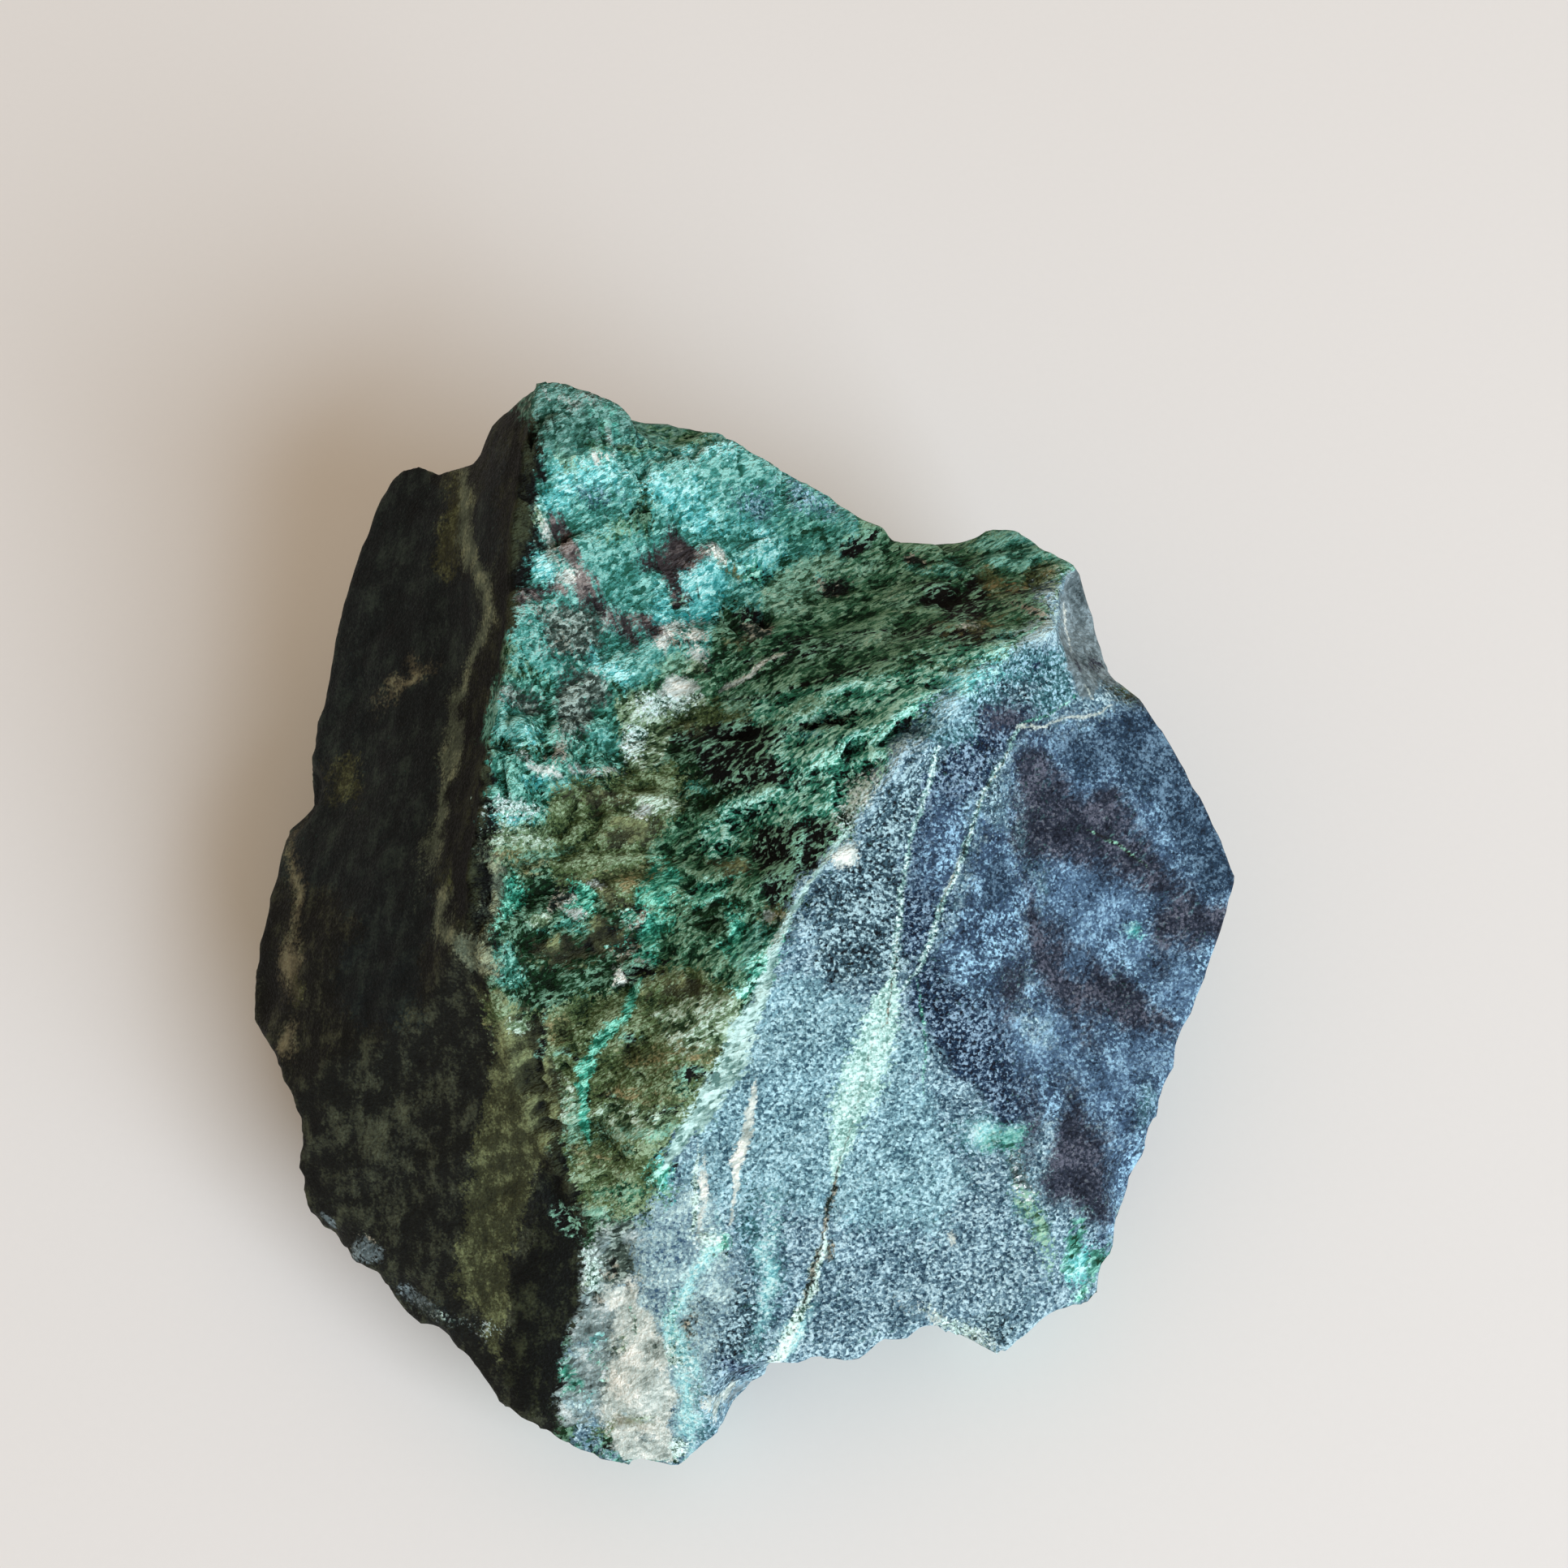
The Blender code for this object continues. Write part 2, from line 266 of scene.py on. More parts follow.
# Scoops where chips have flown off: name, middle of the ball that fits the scoop, radius.
CHIPS = (
    ("grey_chip", (20.5, 13.8, 20.3), 7.0),
    ("right_corner_chip", (20.0, -11.1, 9.3), 3.2),
    ("front_edge_chip", (10.4, -19.5, 8.6), 3.0),
    ("tip_side_chip", (1.5, -21.7, 7.6), 3.0),
    ("low_left_chip", (-20.0, -14.4, 7.7), 2.6),
    ("lower_left_chip", (-16.6, -17.5, 7.4), 2.6),
    ("left_point_chip", (-24.9, -2.6, 9.8), 3.4),
    ("left_nick", (-23.1, 7.8, 9.8), 2.4),
    ("back_notch_chip", (8.7, 21.8, 15.0), 3.6),
    ("back_ledge_chip", (-2.8, 24.5, 22.5), 4.0),
)

# Set the rim out by this much, to make up for the rounding of its edge.
RIM_ALLOWANCE = 0.02

# Rounding where breaks meet: ridges are crisp, the creases of the hollow softer.
RIDGE_ROUNDING = 0.35
CREASE_ROUNDING = 2.2

# Slow waves that bend every break: wavelength and height, for wandering edges.
BEND_LENGTH, BEND_HEIGHT = 9.0, 0.7
# Ledges that run along one direction: its angle from +X, their length and spacing, and their
# height in the hollow. The faces around it have lower ones. Finer ones are added at a share.
LEDGE_ANGLE, LEDGE_LENGTH, LEDGE_SPACING, LEDGE_HEIGHT = 24.0, 5.2, 2.3, 0.85
FINER, FINER_SHARE = 2.1, 0.5
FACE_SHARE, WALL_SHARE = 0.25, 1.3
# The walls below the rim reach their full roughness this far down, carved in by up to CARVE.
WALL_DEPTH, CARVE = 2.5, 1.6
# Where along a ray the surface is looked for, and how often that interval is halved.
NEAR, FAR, HALVINGS = 0.0, 60.0, 26
# Points this close to the base are exactly on it.
BASE_SNAP = 0.001

print(len(RIM), "rim corners,", len(CHIPS), "chips")

# %% [markdown]
# ## How far outside the stone is a point?
#
# One function answers that for any point: above 0 is air, below 0 is rock, 0 is the surface.
# Planes, balls and an outline could be cut from each other as meshes, but dozens of Booleans
# leave slivers and sharp creases. Distances are joined with one small formula instead, and its
# rounding makes ridges crisp and creases soft.


# %% Distance to the broken surface
def fall_normals(breaks):
    """Outward unit normals from the breaks' directions of fall and dips."""
    direction = np.radians([fall for _, _, fall, _ in breaks])
    dip = np.radians([angle for _, _, _, angle in breaks])
    level = np.sin(dip)
    return np.stack([level * np.cos(direction), level * np.sin(direction), np.cos(dip)], 1)


def heights_above(points, breaks):
    """How far each point lies outside each break: one row for a point, one column a break."""
    normals = fall_normals(breaks)
    anchors = np.array([point for _, point, _, _ in breaks])
    return points @ normals.T - (anchors * normals).sum(axis=1)


def smooth_min(a, b, rounding):
    """The lower of two heights, with the corner between them rounded."""
    near = np.clip(rounding - np.abs(a - b), 0.0, None) / rounding
    return np.minimum(a, b) - near * near * rounding / 4.0


def join(heights, rounding):
    """The union of breaks: inside any of them is inside."""
    joined = heights[:, 0]
    for column in heights.T[1:]:
        joined = smooth_min(joined, column, rounding)
    return joined


def intersect(heights, rounding):
    """The intersection of breaks: inside all of them is inside."""
    return -join(-heights, rounding)


def sight_place(points):
    """(a, b) of each point: a is x, and b mixes y and z by the lean of the line of sight."""
    return points[:, 0], turned(points[:, 1], points[:, 2], SIGHT_LEAN)[0]


def outside_rim(points):
    """How far each point lies outside the rim, measured across the line of sight."""
    across, up = sight_place(points)
    middle = np.ravel(sight_place(np.array([CORE])))
    corners = np.array(RIM) - middle
    corners = corners[np.argsort(np.arctan2(corners[:, 1], corners[:, 0]))]
    angles = np.arctan2(corners[:, 1], corners[:, 0])
    x, y = across - middle[0], up - middle[1]
    angle = np.arctan2(y, x)
    after = np.searchsorted(angles, angle) % len(corners)
    start, end = corners[after - 1], corners[after]
    edge = end - start
    reach = (start[:, 0] * edge[:, 1] - start[:, 1] * edge[:, 0]) / (
        np.cos(angle) * edge[:, 1] - np.sin(angle) * edge[:, 0]
    )
    return np.hypot(x, y) - reach - RIM_ALLOWANCE


def height_over_hollow(points):
    """How far each point lies above the breaks inside the hollow."""
    left = join(heights_above(points, HOLLOW_LEFT_BREAKS), CREASE_ROUNDING)
    right = intersect(heights_above(points, HOLLOW_RIGHT_BREAKS), CREASE_ROUNDING)
    floor = intersect(heights_above(points, HOLLOW_FLOOR_BREAKS), CREASE_ROUNDING)
    return join(np.column_stack([left, right, floor]), CREASE_ROUNDING)


def depth_in_chips(points):
    """How deep each point lies inside a scoop, the deepest of them."""
    depths = [radius - np.linalg.norm(points - middle, axis=1) for _, middle, radius in CHIPS]
    return np.max(depths, axis=0)


def height_above_top(points):
    """How far each point lies above everything that is seen from above."""
    left = join(heights_above(points, LEFT_BREAKS), RIDGE_ROUNDING)
    top = heights_above(points, TOP_BREAKS)
    faces = np.column_stack([top, left, height_over_hollow(points), depth_in_chips(points)])
    return intersect(faces, RIDGE_ROUNDING)


def down_the_wall(height):
    """0 at the top and the rim, 1 from WALL_DEPTH below it."""
    return np.clip(-height / WALL_DEPTH, 0.0, 1.0)


def height_outside(points, bend=0.0, raised=0.0, carved=0.0, chipped=0.0):
    """Above 0 outside the stone, below 0 inside, in millimetres near its surface. The bend moves
    where the breaks are looked up, raised is how far the surface stands out from them, and
    carved is how far the wall under the rim is set back. Chipped sets the rim itself back."""
    bent = points + bend
    top = height_above_top(bent)
    under = intersect(heights_above(bent, UNDER_BREAKS), RIDGE_ROUNDING)
    wall = outside_rim(points) + chipped + carved * down_the_wall(top)
    stone = intersect(np.column_stack([top - raised, under - raised, wall]), RIDGE_ROUNDING)
    return np.maximum(stone, -points[:, 2])


def cast_out(directions, *relief):
    """The surface point along each direction from the core, by halving an interval."""
    core = np.array(CORE)
    near = np.full(len(directions), NEAR)
    far = np.full(len(directions), FAR)
    for _ in range(HALVINGS):
        middle = (near + far) / 2.0
        inside = height_outside(core + directions * middle[:, None], *relief) < 0
        near = np.where(inside, middle, near)
        far = np.where(inside, far, middle)
    return core + directions * near[:, None]


def waves(points):
    """The slow waves, one in each direction."""
    at = points / BEND_LENGTH
    return BEND_HEIGHT * np.stack([noise(at, seed) for seed in (1, 2, 3)], axis=1)


def ledge_noise(points):
    """Noise from -1 to 1, stretched along the ledges: coarse noise plus a share of finer."""
    along, across = turned(points[:, 0], points[:, 1], LEDGE_ANGLE)
    at = np.stack([along / LEDGE_LENGTH, across / LEDGE_SPACING, points[:, 2] / LEDGE_SPACING])
    return (noise(at.T, 4) + FINER_SHARE * noise(at.T * FINER, 5)) / (1.0 + FINER_SHARE)


print("the core is", -height_outside(np.array([CORE])).round(1)[0], "mm inside")

# %% [markdown]
# ## Rays from the core
#
# The surface is found along rays from one point inside that sees all of it. Rays spread evenly
# over a ball would crowd on near walls and thin out on far ones. So the rays are evened out
# first: each moves to the middle of its neighbours' surface points, again and again, until the
# cells come out nearly the same size. The flat base has nothing to show, so it gets fewer.

# %% A grid of rays
COARSE_STEPS, SPREAD = 32, 4
EVENING_ROUNDS, LAST_ROUNDS = 50, 2
# Points under BASE_TOP draw their neighbours less, so the base gets fewer of them.
BASE_TOP, BASE_SHARE = 0.05, 0.4


def ball_grid(steps):
    """Six square grids on a cube's faces, blown up to a ball. Both parameters run from -45 to 45
    degrees, and a point is (1, tan u, tan v), turned to its face and made one long."""
    turn = np.tan(np.linspace(-math.pi / 4, math.pi / 4, steps + 1))
    u, v = np.meshgrid(turn, turn, indexing="ij")
    one = np.ones_like(u)
    sides = [(one, u, v), (-one, -u, v), (-u, one, v), (u, -one, v), (-v, u, one), (v, u, -one)]
    grid = np.stack([np.stack(side, axis=-1) for side in sides])
    return grid / np.linalg.norm(grid, axis=-1, keepdims=True)


def weld(grid):
    """The place of each different point in the grid, and each grid place's point number, so that
    the seams between the six faces close."""
    flat = grid.reshape(-1, 3).round(6)
    _, first, number = np.unique(flat, axis=0, return_index=True, return_inverse=True)
    return first, number.reshape(grid.shape[:3])


def cells(number):
    """The four corners of every cell, turned so that its face looks outwards."""
    corners = (number[:, :-1, :-1], number[:, 1:, :-1], number[:, 1:, 1:], number[:, :-1, 1:])
    return np.stack(corners, axis=-1).reshape(-1, 4)


def neighbour_middle(values, faces, weight):
    """For each point, the weighted mean of its neighbours' values along the cells' edges."""
    start = faces.ravel()
    end = np.roll(faces, -1, axis=1).ravel()
    total = np.bincount(start, weight[end], len(values))
    columns = [np.bincount(start, (weight * column)[end], len(values)) for column in values.T]
    return np.column_stack(columns) / total[:, None]


def even_out(rays, faces, rounds):
    """Turns each ray towards the middle of its neighbours' surface points, round after round."""
    for _ in range(rounds):
        points = cast_out(rays)
        weight = np.where(points[:, 2] < BASE_TOP, BASE_SHARE, 1.0)
        middle = neighbour_middle(points, faces, weight) - np.array(CORE)
        rays = middle / np.linalg.norm(middle, axis=1)[:, None]
    return rays


def spread_out(grid, factor):
    """Straight blends between neighbouring rays, for a grid with factor times as many cells."""
    steps = grid.shape[1] - 1
    place = np.arange(steps * factor + 1) / factor
    start = np.minimum(place.astype(int), steps - 1)
    share = (place - start)[:, None]
    rows = grid[:, start] * (1 - share)[:, None] + grid[:, start + 1] * share[:, None]
    return rows[:, :, start] * (1 - share) + rows[:, :, start + 1] * share


grid = ball_grid(COARSE_STEPS) * (1.0, 1.0, FLATNESS)
first, number = weld(grid)
coarse_rays = even_out(grid.reshape(-1, 3)[first], cells(number), EVENING_ROUNDS)
grid = spread_out(coarse_rays[number], SPREAD)
first, number = weld(grid)
faces = cells(number)
rays = even_out(grid.reshape(-1, 3)[first], faces, LAST_ROUNDS)
print(len(rays), "rays and", 2 * len(faces), "triangles")

# %% [markdown]
# ## Relief
#
# On the real rock the hollow is crumbly: crystals a millimetre across stand up from it, with
# ledges, pits and dark gaps between. The blue face broke clean and is nearly smooth. The packed
# solid has the ledges; the crystals and the single pits and lumps are added here. Displacing the
# finished mesh would fold it over at thin edges, so the relief goes into the distance function
# and the rays find the rough surface themselves.

# %% Placed lumps and pits
# Pits, lumps and minerals are placed on the plane across the line of sight: a runs to the right
# and b upwards, in millimetres. A mineral sheet runs through the rock along that line. Tables of
# such places are written in words: a name or two, a colon, and rows of numbers split by commas.
RELIEF_WANDER, RELIEF_WANDER_LENGTH = 0.25, 0.8


def table(text):
    """The entries of a table in words: the names of each, and the list of its rows."""
    entries = []
    for line in text.strip().splitlines():
        names, colon, rows = line.rpartition(":")
        if colon:
            entries.append((*names.split(), []))
        for row in filter(str.strip, rows.split(",")):
            entries[-1][-1].append(tuple(map(float, row.split())))
    return entries


# Each row: a, b, half-length, half-width, angle and height.
RELIEF = table("""
lip_over_crease: -3.4 28 2.09 0.5 -6 0.5
lip_shoulder: -5.6 30.5 1.01 0.43 -18 0.45
lip_crease: -5.3 26.9 2.51 0.25 2 -0.6
wall_crease: -4.7 25.1 0.33 1.09 -5 -0.45
wall_crease_low: -4.9 23.2 0.87 0.36 25 -0.45
wall_shoulder: -6.7 24.9 1.45 1.23 0 0.25
turquoise_lump: -2.2 20.9 1.51 1.36 20 0.35
turquoise_lump_bright: 0.6 21.9 1.39 0.93 20 0.4
black_star: -3.3 21.4 1.64 1.12 -10 -0.25
black_pit: 0.7 19.1 0.92 0.84 0 -0.7
green_gap: -0.7 18.6 0.53 1.15 10 -0.35
left_black_patch: -8.2 22.5 0.56 1.19 -5 -0.25
upper_ledge: 3.2 14.9 2.88 0.44 15 0.45
upper_ledge_gap: 3.4 13.9 2.2 0.29 12 -0.9
black_lump_gap: -0.3 13.6 1.44 0.49 5 -0.6
black_lump: -0.5 13.8 0.99 0.34 5 0.3
mint_ledge: 4.5 13.1 2.63 0.44 25 0.5
mint_ledge_gap: 4.3 12.5 0.8 0.36 15 -0.5
low_mint_ledge: 0.4 10.6 1.49 0.56 5 0.45
umber_step: 2.3 8.2 1.45 1.09 50 -0.5
dark_hole: 7.8 15.6 0.65 0.29 30 -0.4
dark_hole_low: 6.7 13.7 0.95 0.33 20 -0.4
cream_arc: -8.8 12.1 0.88 0.2 -30 0.35
cream_arc_right: -7.5 11.8 0.97 0.21 3 0.35
crease_under_arc: -8.2 11 1.72 0.24 -5 -0.35
teal_block: -6.7 13.6 0.91 0.7 0 0.35
crease_left: -9.7 12.9 0.98 0.18 -8 -0.35
sage_lump: -4.7 14.3 1.24 0.95 0 0.4
sage_lump_low: -4.3 10.4 1.18 0.74 0 0.4
cream_ledge: 0.4 16.5 1.75 0.31 30 0.35
mint_streak: -1.8 6.4 0.75 0.37 20 0.3
teal_lump: -3.8 6.5 0.48 0.55 0 0.35
teal_lump_mid: -4.8 5.3 0.66 0.51 40 0.3
teal_lump_low: -4.3 4.2 0.81 0.41 15 0.4
olive_ridge: -5.3 6.9 1.31 0.44 10 0.3
emerald_pit: -4.7 2.9 0.71 0.26 10 -0.6
emerald_pit_low: -5.2 2.3 0.45 0.34 0 -0.4
cream_knob: -5.6 2.6 0.26 0.33 0 0.3
olive_pit: -4.6 -1 0.33 0.26 0 -0.45
olive_pit_left: -5.8 -2.7 0.37 0.26 0 -0.45
olive_pit_right: -3.3 -2.9 0.4 0.22 0 -0.4
olive_pit_top: -5 -0.1 0.29 0.22 0 -0.4
olive_pit_far: -7.9 -1.1 0.36 0.25 0 -0.4
crest_hollow: -2.1 -1.5 0.58 0.47 0 -0.5
rust_pit: -6.3 -5.3 0.55 0.22 0 -0.3
mint_blob: -3.8 -6.1 0.43 0.72 0 0.5
dark_bay: -8.1 -7.4 0.88 2.21 20 -0.3
grey_hollow: -5.4 -9.4 1.02 1.02 0 -0.35
tip_pit: -6.7 -12.1 0.48 0.52 20 -0.7
tip_pit_right: -5.1 -11.4 0.52 0.18 5 -0.4
tip_rim_lump: -7 -11 0.59 0.74 20 0.35
tip_lump: -4.8 -15.4 1.49 1.87 80 0.35
tip_crease: -5.5 -17.6 0.9 0.22 25 -0.4
tip_chip: -6.7 -19 0.52 0.41 0 -0.5
front_chip: 10 -13.8 1.44 0.38 -35 -0.5
dark_groove: 18.4 7.8 1.49 0.21 -35 -0.25
chip_ridge: 15.4 17.7 0.18 2.16 8 0.2
crack_deep: 3.8 -7.8 0.18 1.25 12 -0.45
crack_low: 3.1 -11.2 0.22 0.96 20 -0.35
""")


def patch_reach(a, b, middle_a, middle_b, half_length, half_width, angle=0.0):
    """0 in the middle of an oval patch, 1 on its edge, more outside: the length of the offset
    from its middle, turned by its angle and divided by its two half-sizes."""
    along, across = turned(a - middle_a, b - middle_b, angle)
    return np.hypot(along / half_length, across / half_width)


def placed_relief(points):
    """The height of the listed lumps and pits: each is its height times (1 - reach^2)^2."""
    a, b = sight_place(points)
    a = a + RELIEF_WANDER * noise(points / RELIEF_WANDER_LENGTH, 31)
    b = b + RELIEF_WANDER * noise(points / RELIEF_WANDER_LENGTH, 32)
    total = np.zeros(len(points))
    for _, [(*place, height)] in RELIEF:
        share = np.clip(1.0 - patch_reach(a, b, *place) ** 2, 0.0, None)
        total += height * share * share
    return total


print(len(RELIEF), "placed lumps and pits")

# %% Crystals and chips
CRYSTAL_LENGTH, CRYSTAL_STRETCH, CRYSTAL_HEIGHT = 1.15, 1.7, 0.55
# How far a crystal may lie from its cell's middle, how far its sides lean and how much its
# height varies; then its level and steepness, and the heights between which it is cut off.
OFF_MIDDLE, SIDE_LEAN, UNEVEN = 0.45, 0.6, 0.45
CRYSTAL_LEVEL, STEEP, CUT_LOW, CUT_HIGH = 1.45, 2.2, -1.0, 1.2
GRIT_LENGTH, GRIT_HEIGHT, GRIT_CREST = 0.62, 0.13, 2.4
# Shares of the crystals on the smooth faces and on the walls, and how much they nibble the rim.
SMOOTH_SHARE, WALL_CRYSTALS, NIBBLE = 0.10, 0.8, 0.18
# The rim is chipped back a little everywhere, and more along the thin front and low left edges.
# A chip is CHIP_POINT times the size of its noise less CHIP_LEVEL, times its height.
CHIP_LENGTHS, CHIP_HEIGHTS = (2.1, 0.8), (0.24, 0.13)
CHIP_POINT, CHIP_LEVEL = 2.4, 0.8
SOUND_SHARE, THIN_EDGE_FROM, THIN_EDGE_TO = 0.35, 2.0, -6.0
# Where the crystals lie flatter: name, a, b, half-length, half-width, angle, share taken away.
# All of that share is taken up to CALM_FULL of the oval's reach, and none from CALM_END.
CALM_FULL, CALM_END = 0.6, 1.15
CALM = (
    ("turquoise_wall", -3.5, 19.5, 11.0, 8.5, -20, 0.70),
    ("green_slope", 8.5, 18.5, 10.0, 5.0, 15, 0.50),
    ("olive_floor", -7.5, 0.5, 7.0, 6.5, 0, 0.45),
)


def crystals_at(points, seed):
    """Angular crystals: every cell of a grid holds one, at a random spot and with a random height.
    Its sides are three pairs of leaning planes, so it falls off with the largest of the three
    plane distances, and a point takes the highest of the 27 crystals around it. Thirteen random
    numbers make a crystal: three for its spot, three for each lean, and one for its height."""
    cell = np.floor(points).astype(np.int64)
    highest = np.full(len(points), -np.inf)
    for turn in range(27):
        here = cell + (turn % 3 - 1, turn // 3 % 3 - 1, turn // 9 - 1)
        chance = [lattice_value(here, seed + 7 * number) for number in range(13)]
        offset = points - here - 0.5 - OFF_MIDDLE * np.column_stack(chance[:3])
        sides = []
        for axis in range(3):
            lean = np.column_stack(chance[3 + 3 * axis:6 + 3 * axis])
            sides.append(np.abs(offset[:, axis] + SIDE_LEAN * (lean * offset).sum(axis=1)))
        highest = np.maximum(highest, UNEVEN * chance[12] - np.maximum.reduce(sides))
    return np.clip(CRYSTAL_LEVEL + STEEP * highest, CUT_LOW, CUT_HIGH)


def crystal_noise(points):
    """Crystals stretched along the ledges, with a grit of sharp crests over them."""
    along, across = turned(points[:, 0], points[:, 1], LEDGE_ANGLE)
    at = np.column_stack([along / CRYSTAL_STRETCH, across, points[:, 2]])
    grit = 1.0 - GRIT_CREST * np.abs(noise(at / GRIT_LENGTH, 12))
    return crystals_at(at / CRYSTAL_LENGTH, 11) * CRYSTAL_HEIGHT + grit * GRIT_HEIGHT


def calmness(points):
    """1 where the crystals stand up fully, less inside each calm oval, with a soft edge."""
    a, b = sight_place(points)
    share = np.ones(len(points))
    for _, *place, taken in CALM:
        share *= 1.0 - taken * (1.0 - soft_step(patch_reach(a, b, *place), CALM_FULL, CALM_END))
    return share


def rim_chips(points):
    """How far the rim is chipped back: scoops and points of two lengths, in full below
    THIN_EDGE_TO on the sight plane, and at SOUND_SHARE above THIN_EDGE_FROM."""
    _, b = sight_place(points)
    thin = 1.0 - soft_step(b, THIN_EDGE_TO, THIN_EDGE_FROM)
    chips = [height * (CHIP_POINT * np.abs(noise(points / length, 81 + turn)) - CHIP_LEVEL)
             for turn, (length, height) in enumerate(zip(CHIP_LENGTHS, CHIP_HEIGHTS))]
    return sum(chips) * (SOUND_SHARE + (1.0 - SOUND_SHARE) * thin)


print(len(CALM), "calm places")


# %% The finished surface
def finished_points(rays):
    """The surface point met along each ray: first with plain breaks, to see where it is, then
    with the ledges, crystals, pits and nibbled edges that belong there. Also how rough each point
    is, and how far down the wall it lies, both from 0 to 1."""
    plain = cast_out(rays)
    ledge = ledge_noise(plain)
    hollow = np.clip(1.0 - np.abs(height_over_hollow(plain)), 0.0, 1.0)
    wall = down_the_wall(height_above_top(plain))
    ledges = np.maximum(np.maximum(hollow, FACE_SHARE), WALL_SHARE * wall)
    rough = np.maximum(np.maximum(hollow, SMOOTH_SHARE), WALL_CRYSTALS * wall)
    crystals = crystal_noise(plain) * calmness(plain)
    raised = LEDGE_HEIGHT * ledges * ledge + rough * crystals + placed_relief(plain)
    carved = CARVE * (0.5 + 0.5 * ledge) + NIBBLE * crystals
    points = cast_out(rays, waves(plain), raised, carved, rim_chips(plain))
    points[:, 2] = np.where(points[:, 2] < BASE_SNAP, 0.0, points[:, 2])
    return points, rough, wall


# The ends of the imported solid's surface as these breaks give it, before it was fitted to its box.
BREAKS_LOW, BREAKS_HIGH = np.array([-23.32, -23.24, 0.0]), np.array([23.32, 23.54, 24.04])


def fitted(points):
    """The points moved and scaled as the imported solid's were, so that the two lie together."""
    return box_low + (points - BREAKS_LOW) * (box_high - box_low) / (BREAKS_HIGH - BREAKS_LOW)


points, rough, wall = finished_points(rays)
points = fitted(points)
print("finished stone, mm:", points.min(axis=0).round(2), points.max(axis=0).round(2))

# %% The stone's mesh
stone_mesh = bpy.data.meshes.new("rough_stone")
stone_mesh.from_pydata((points * MM).tolist(), [], faces.tolist())
stone_mesh.shade_smooth()
stone = bpy.data.objects.new("rough_stone", stone_mesh)
bpy.context.scene.collection.objects.link(stone)
print("stone mesh:", len(stone_mesh.vertices), "points")
